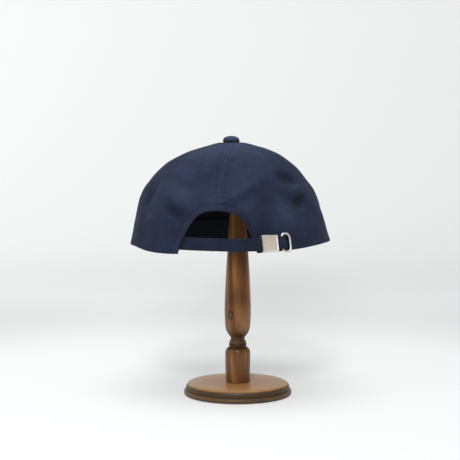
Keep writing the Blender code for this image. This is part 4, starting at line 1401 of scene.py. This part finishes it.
def makePost(material):
    spec = postSpec
    foot, neck = baseTop + gap, standTop - spec["knobHeight"]
    turns = [Turn(foot + t.height * (neck - foot), t.radius * spec["radius"]) for t in spec["turns"]]
    turns += [Turn(neck + t.height * spec["knobHeight"], t.radius * spec["knobRadius"])
              for t in spec["knobTurns"]]
    turns += [Turn(standTop, gap)]
    profile = smoothProfile(turns, 1)
    post = turnedPiece("turnedPost", profile, spec["sides"], material)
    # painted shade, deeper the further a row lies in a groove
    woodShade = []
    for sink in sinkOf(profile, spec["grooveSight"]):
        woodShade += [min(spec["woodShade"], sink / spec["grooveDepth"])] * spec["sides"]
    setWearLightAndShade(post, [0.0] * len(woodShade), woodShade)
    post.data.set_sharp_from_angle(angle=sharpAngle)
    print("post made")
    return place(post, "post_wood", "stand_post")


def makeBase(material):
    spec = baseSpec
    turns = [Turn(t.height * baseTop, max(t.radius * baseRadius, gap)) for t in spec["turns"]]
    profile = smoothProfile(turns, 2)
    base = turnedPiece("turnedBase", profile, spec["sides"], material)
    # painted shade on its sides and in its groove
    woodShade, worn = [], []
    for height, radius in profile:
        up, out = height / baseTop, radius / baseRadius
        edge = softStep(*spec["edgeFrom"], out) * (1 - softStep(*spec["edgeTop"], up))
        edge *= spec["upperShade"] if up > spec["groove"] else 1 - spec["lowerFade"] * up
        groove = math.exp(-((up - spec["groove"]) / spec["grooveWidth"]) ** 2)
        woodShade += [min(1.0, edge * (1 + spec["grooveShade"] * groove))] * spec["sides"]
        # painted reflection on its top, stronger towards the back and weaker to the right
        paintedReflection = softStep(*spec["paleFrom"], out) * (1 - edge)
        for k in range(spec["sides"]):
            turn = math.tau * k / spec["sides"]
            pale = spec["pale"] + spec["paleBack"] * math.sin(turn) + spec["paleRight"] * math.cos(turn)
            worn.append(paintedReflection * pale)
    setWearLightAndShade(base, worn, woodShade)
    base.data.set_sharp_from_angle(angle=sharpAngle)
    print("base made")
    return place(base, "base_wood", "stand_base")


postLook = {
    "light": (0.380, 0.178, 0.054), "main": (0.184, 0.066, 0.0112), "dark": (0.062, 0.024, 0.0072),
    # its last two colours are those of painted reflection and of painted shade
    "paintedReflection": (0.380, 0.178, 0.054), "woodShade": (0.034, 0.017, 0.008),
    "ringShare": 0.42, "ringGap": 420.0, "heart": (0.020, -0.034, 1.0), "stretch": (1.0, 1.0, 0.05),
    "coat": 0.50, "knot": (-0.0068, 0.0108, 0.0790),  # the knot's place: right, towards the camera and up
}
baseLook = {
    "light": (0.680, 0.400, 0.185), "main": (0.500, 0.225, 0.068), "dark": (0.270, 0.120, 0.042),
    # its last two colours are those of painted reflection and of painted shade
    "paintedReflection": (0.720, 0.530, 0.330), "woodShade": (0.064, 0.037, 0.017),
    "ringShare": 0.20, "ringGap": 230.0, "heart": (0.0, 0.09, 0.03), "stretch": (0.06, 1.0, 1.0),
    "coat": 0.35, "knot": None,
}
woodSpec = {
    # the coat is thinner where painted shade lies
    "roughness": 0.50, "specular": 0.22, "coatRoughness": 0.30, "shadedCoat": 0.7,
    "bendScale": 26.0, "bend": 9.0, "cloudScale": 42.0, "clouds": 0.35,
    "streakScale": 90.0, "streakStretch": 6.0, "streaks": 0.75,
    "poreScale": 260.0, "poreStretch": 9.0, "pores": (0.36, 0.30), "poreShade": 0.55,
    "level": -0.07, "tones": (0.0, 0.45, 0.9),  # where the dark, main and light colours lie
    # how far painted shade darkens the wood
    "shadeShare": 0.88, "bump": 0.25, "bumpDistance": 0.0003,
}
knotSpec = {
    "flat": (1.0, 1.0, 0.72), "uneven": 0.0012, "outer": (0.0044, 0.0028), "inner": (0.0007, 0.0019),
    "ring": 0.8, "heart": (0.0015, 0.0006), "heartShare": 0.7,
}


def addKnot(wood, look, place, bent, colour):  # a dark ring in the grain, with a paler heart
    spec = knotSpec
    right = Vector((math.cos(cameraAngle), math.sin(cameraAngle), 0.0))
    toCamera = Vector((math.sin(cameraAngle), -math.cos(cameraAngle), 0.0))
    spot = right * look["knot"][0] + toCamera * look["knot"][1] + Vector((0, 0, look["knot"][2]))
    flattened = vectors(wood, "MULTIPLY", vectors(wood, "SUBTRACT", place, spot), spec["flat"])
    far = vectors(wood, "LENGTH", flattened, output=1) + spec["uneven"] * (bent - 0.5)
    ring = smoothBetween(wood, far, *spec["outer"]) * smoothBetween(wood, far, *spec["inner"])
    colour = mixColours(wood, ring * spec["ring"], colour, tone(look["dark"], 0.7))
    heart = smoothBetween(wood, far, *spec["heart"]) * spec["heartShare"]
    return mixColours(wood, heart, colour, tone(look["light"], 0.7))


def makeWood(name, look):
    spec = woodSpec
    wood = Finish(name, Specular_IOR_Level=spec["specular"], Coat_Roughness=spec["coatRoughness"])
    place = wood.node("TexCoord", {}, {}, output=3)
    stretch = look["stretch"]
    bent = spread(wood, place, stretch, spec["bendScale"], detail=3.0)
    fromHeart = vectors(wood, "MULTIPLY", vectors(wood, "SUBTRACT", place, look["heart"]), stretch)
    reach = vectors(wood, "LENGTH", fromHeart, output=1)
    rings = 0.5 + 0.5 * oneSided(wood, "SINE", reach * look["ringGap"] * math.pi + spec["bend"] * bent)
    long = tuple(spec["streakStretch"] * part for part in stretch)
    streaks = spread(wood, place, long, spec["streakScale"], detail=4.0, roughness=0.65)
    longer = tuple(spec["poreStretch"] * part for part in stretch)
    pores = spread(wood, place, longer, spec["poreScale"], detail=2.0)
    clouds = spread(wood, place, tuple(part ** 0.5 for part in stretch), spec["cloudScale"], detail=3.0)
    grain = look["ringShare"] * (rings - 0.5) + spec["streaks"] * streaks
    grain = grain + spec["clouds"] * clouds + spec["level"]
    stops = list(zip(spec["tones"], (look["dark"], look["main"], look["light"])))
    colour = wood.node("ValToRGB", {"stops": stops}, {0: grain})
    pitted = smoothBetween(wood, pores, *spec["pores"])
    colour = mixColours(wood, pitted * spec["poreShade"], colour, tone(look["dark"], 0.6))
    if look["knot"]:
        colour = addKnot(wood, look, place, bent, colour)
    # painted shade darkens the wood and thins its coat
    shadeMask = painted(wood, "creased")
    colour = mixColours(wood, shadeMask * (spec["shadeShare"] + 0.35 * clouds), colour, tone(look["woodShade"]))
    # painted reflection pales the wood where a piece carries it; the post carries none
    wood.feed("Base Color", mixColours(wood, painted(wood, "worn"), colour, tone(look["paintedReflection"])))
    wood.feed("Coat Weight", look["coat"] * (1 - spec["shadedCoat"] * shadeMask))
    wood.feed("Roughness", spec["roughness"] + 0.18 * (streaks - 0.5) + 0.2 * pitted)
    relief = {"Strength": spec["bump"], "Distance": spec["bumpDistance"],
              "Height": 0.5 * streaks + 0.2 * rings - 0.6 * pitted}
    wood.feed("Normal", wood.node("Bump", {}, relief))
    return wood.material


metalLook = {
    "colour": (0.90, 0.87, 0.81), "shadow": (0.66, 0.62, 0.55),
    "roughness": 0.36, "smudge": 0.3, "metallic": 0.75,
}
plateLook = {
    "colour": (0.66, 0.59, 0.49), "shadow": (0.50, 0.45, 0.37),
    "roughness": 0.45, "smudge": 0.3, "metallic": 0.35,
}
metalSpec = {
    "brush": (0.12, 0.12, 1.0), "brushScale": 5200.0, "smudgeScale": 160.0, "smudges": (0.62, 0.30),
    "uneven": 0.16, "bump": 0.12, "bumpDistance": 0.00005,
}


def makeMetal(name, look):
    spec = metalSpec
    metal = Finish(name, Metallic=look["metallic"])
    place = metal.node("TexCoord", {}, {}, output=3)
    brushed = spread(metal, place, spec["brush"], spec["brushScale"], detail=2.0)
    smudges = spread(metal, place, (1.0, 1.0, 1.0), spec["smudgeScale"], detail=3.0)
    dull = smoothBetween(metal, smudges, *spec["smudges"]) * look["smudge"]
    metal.feed("Base Color", mixColours(metal, dull, tone(look["colour"]), tone(look["shadow"])))
    metal.feed("Roughness", look["roughness"] + spec["uneven"] * (brushed + smudges - 1))
    relief = {"Strength": spec["bump"], "Distance": spec["bumpDistance"], "Height": brushed}
    metal.feed("Normal", metal.node("Bump", {}, relief))
    return metal.material


# Camera, floor and light

cameraSpec = {
    "distance": 1.15, "height": 0.235, "azimuth": 5.0, "pitch": 3.7, "pan": 0.377, "lens": 92.8,
}
cameraAngle = math.radians(cameraSpec["azimuth"])
stageSpec = {
    "floor": 1.55, "sweep": 0.60, "height": 0.9, "sweepSteps": 16, "sides": 96, "hub": 0.02, "under": 0.0002,
    "colour": 0.47, "dim": 0.20,           # its colour near and behind the stand, and elsewhere, where it is darker as painted shade
    "glow": (0.475, 0.43, 0.530),          # its own painted light near the stand, further off and up its sides
    "places": (0.30, 0.80, 2.2),           # distances from the stand where these start and end
    # its painted light dims away from behind the stand and falls off towards +x
    "tint": (0.990, 1.0, 0.995), "behind": (-0.3, 0.8), "sideFall": 0.09,
    "patch": (-0.02, 0.72, 0.0), "patchSize": (0.22, 0.85, 1.0), "patchDepth": 0.11,  # a painted soft shadow behind the stand
}
lightSpecs = {
    "topKey": {"azimuth": -8.0, "elevation": 78.0, "distance": 1.7, "size": 1.3, "power": 18.5},
    "frontKey": {"azimuth": 0.0, "elevation": 36.0, "distance": 2.2, "size": 0.4, "power": 23.0},
}
worldLight = {"colour": (0.95, 0.98, 1.0), "strength": 0.30}


def makeCamera():
    spec = cameraSpec
    camera = bpy.data.objects.new("camera", bpy.data.cameras.new("camera"))
    camera.data.lens = spec["lens"]
    back = Vector((math.sin(cameraAngle), -math.cos(cameraAngle), 0.0))
    camera.location = back * spec["distance"] + Vector((0, 0, spec["height"]))
    camera.rotation_euler = (math.radians(90 - spec["pitch"]), 0.0, cameraAngle + math.radians(spec["pan"]))
    bpy.context.scene.camera = link(camera)


def makeStage():  # a pale floor that curves up all round, glowing with painted light, with a painted shadow behind the stand
    spec = stageSpec
    pale = Finish("paleFloor", Roughness=1.0, Specular_IOR_Level=0.0)
    spot = pale.node("TexCoord", {}, {}, output=3)
    reach = vectors(pale, "LENGTH", spot, output=1)
    across = pale.node("SeparateXYZ", {}, {0: spot}, output=0)
    deep = pale.node("SeparateXYZ", {}, {0: spot}, output=1)
    start, turn, end = spec["places"]
    far = smoothBetween(pale, reach, start, turn)
    high = smoothBetween(pale, reach, turn, end)
    lit = 1 - far * (1 - smoothBetween(pale, deep, *spec["behind"]))
    offset = vectors(pale, "DIVIDE", vectors(pale, "SUBTRACT", spot, spec["patch"]), spec["patchSize"])
    shade = smoothBetween(pale, vectors(pale, "LENGTH", offset, output=1), 1.0, 0.0) * spec["patchDepth"]
    near, middle, top = spec["glow"]
    glow = near + (middle - near) * far + (top - middle) * high
    glow = glow * lit - spec["sideFall"] * across * lit - shade
    pale.feed("Base Color", grey(pale, spec["dim"] + (spec["colour"] - spec["dim"]) * lit))
    shares = {k: glow * share for k, share in enumerate(spec["tint"])}
    pale.feed("Emission Color", pale.node("CombineColor", {}, shares))
    pale.shader.inputs["Emission Strength"].default_value = 1.0
    profile = [(0.0, spec["hub"]), (0.0, spec["floor"])]
    for k in range(1, spec["sweepSteps"] + 1):
        turn = math.pi / 2 * k / spec["sweepSteps"]
        profile.append((spec["sweep"] * (1 - math.cos(turn)), spec["floor"] + spec["sweep"] * math.sin(turn)))
    profile.append((spec["height"], profile[-1][1]))
    floor = turnedPiece("floor", profile, spec["sides"], pale.material)
    floor.location.z = -spec["under"]
    work = bmesh.new()
    work.from_mesh(floor.data)
    work.faces.ensure_lookup_table()
    lid = max(work.faces, key=lambda face: face.calc_center_median().z)
    bmesh.ops.delete(work, geom=[lid], context="FACES_ONLY")
    work.to_mesh(floor.data)
    work.free()


def makeLights():
    for name, spec in lightSpecs.items():
        lamp = bpy.data.lights.new(name, "AREA")
        lamp.shape = "DISK"
        lamp.size = spec["size"]
        lamp.energy = spec["power"]
        light = link(bpy.data.objects.new(name, lamp))
        turn, up = math.radians(spec["azimuth"]), math.radians(spec["elevation"])
        way = Vector((math.sin(turn) * math.cos(up), -math.cos(turn) * math.cos(up), math.sin(up)))
        light.location = way * spec["distance"] + Vector((0, 0, rimLevel))
        light.rotation_mode = "QUATERNION"
        light.rotation_quaternion = way.to_track_quat("Z", "Y")
    world = bpy.data.worlds.new("studio")
    world.use_nodes = True
    sky = world.node_tree.nodes["Background"]
    sky.inputs["Color"].default_value = tone(worldLight["colour"])
    sky.inputs["Strength"].default_value = worldLight["strength"]
    bpy.context.scene.world = world
    bpy.context.scene.view_settings.view_transform = "Standard"


makeCamera()
makeStage()
makeLights()
print("camera, floor and light made")

duck = makeCloth("duckCloth", clothLook)
threads = makeCloth("thread", dict(clothLook, **threadTones))
# darker copies of the cloth, painted shade inside the crown and on the strap
lining = makeCloth("shadedLiningCloth", clothLook, darker=liningShade)
shadedStrapCloth = makeCloth("shadedStrapCloth", clothLook, darker=strapShade)
silver = makeMetal("brushedMetal", metalLook)

makeCrown(duck, lining)
makeSeamStitches(threads)
makeButton(duck)
makeBinding(duck)
makeArchStitches(threads)
makePeak(duck)
makeSweatband(lining)
makeTab(shadedStrapCloth)
makeStrap(shadedStrapCloth)
makeClasp(silver, makeMetal("satinPlate", plateLook))
makeRing(silver)
makeBase(makeWood("baseWood", baseLook))
makePost(makeWood("postWood", postLook))
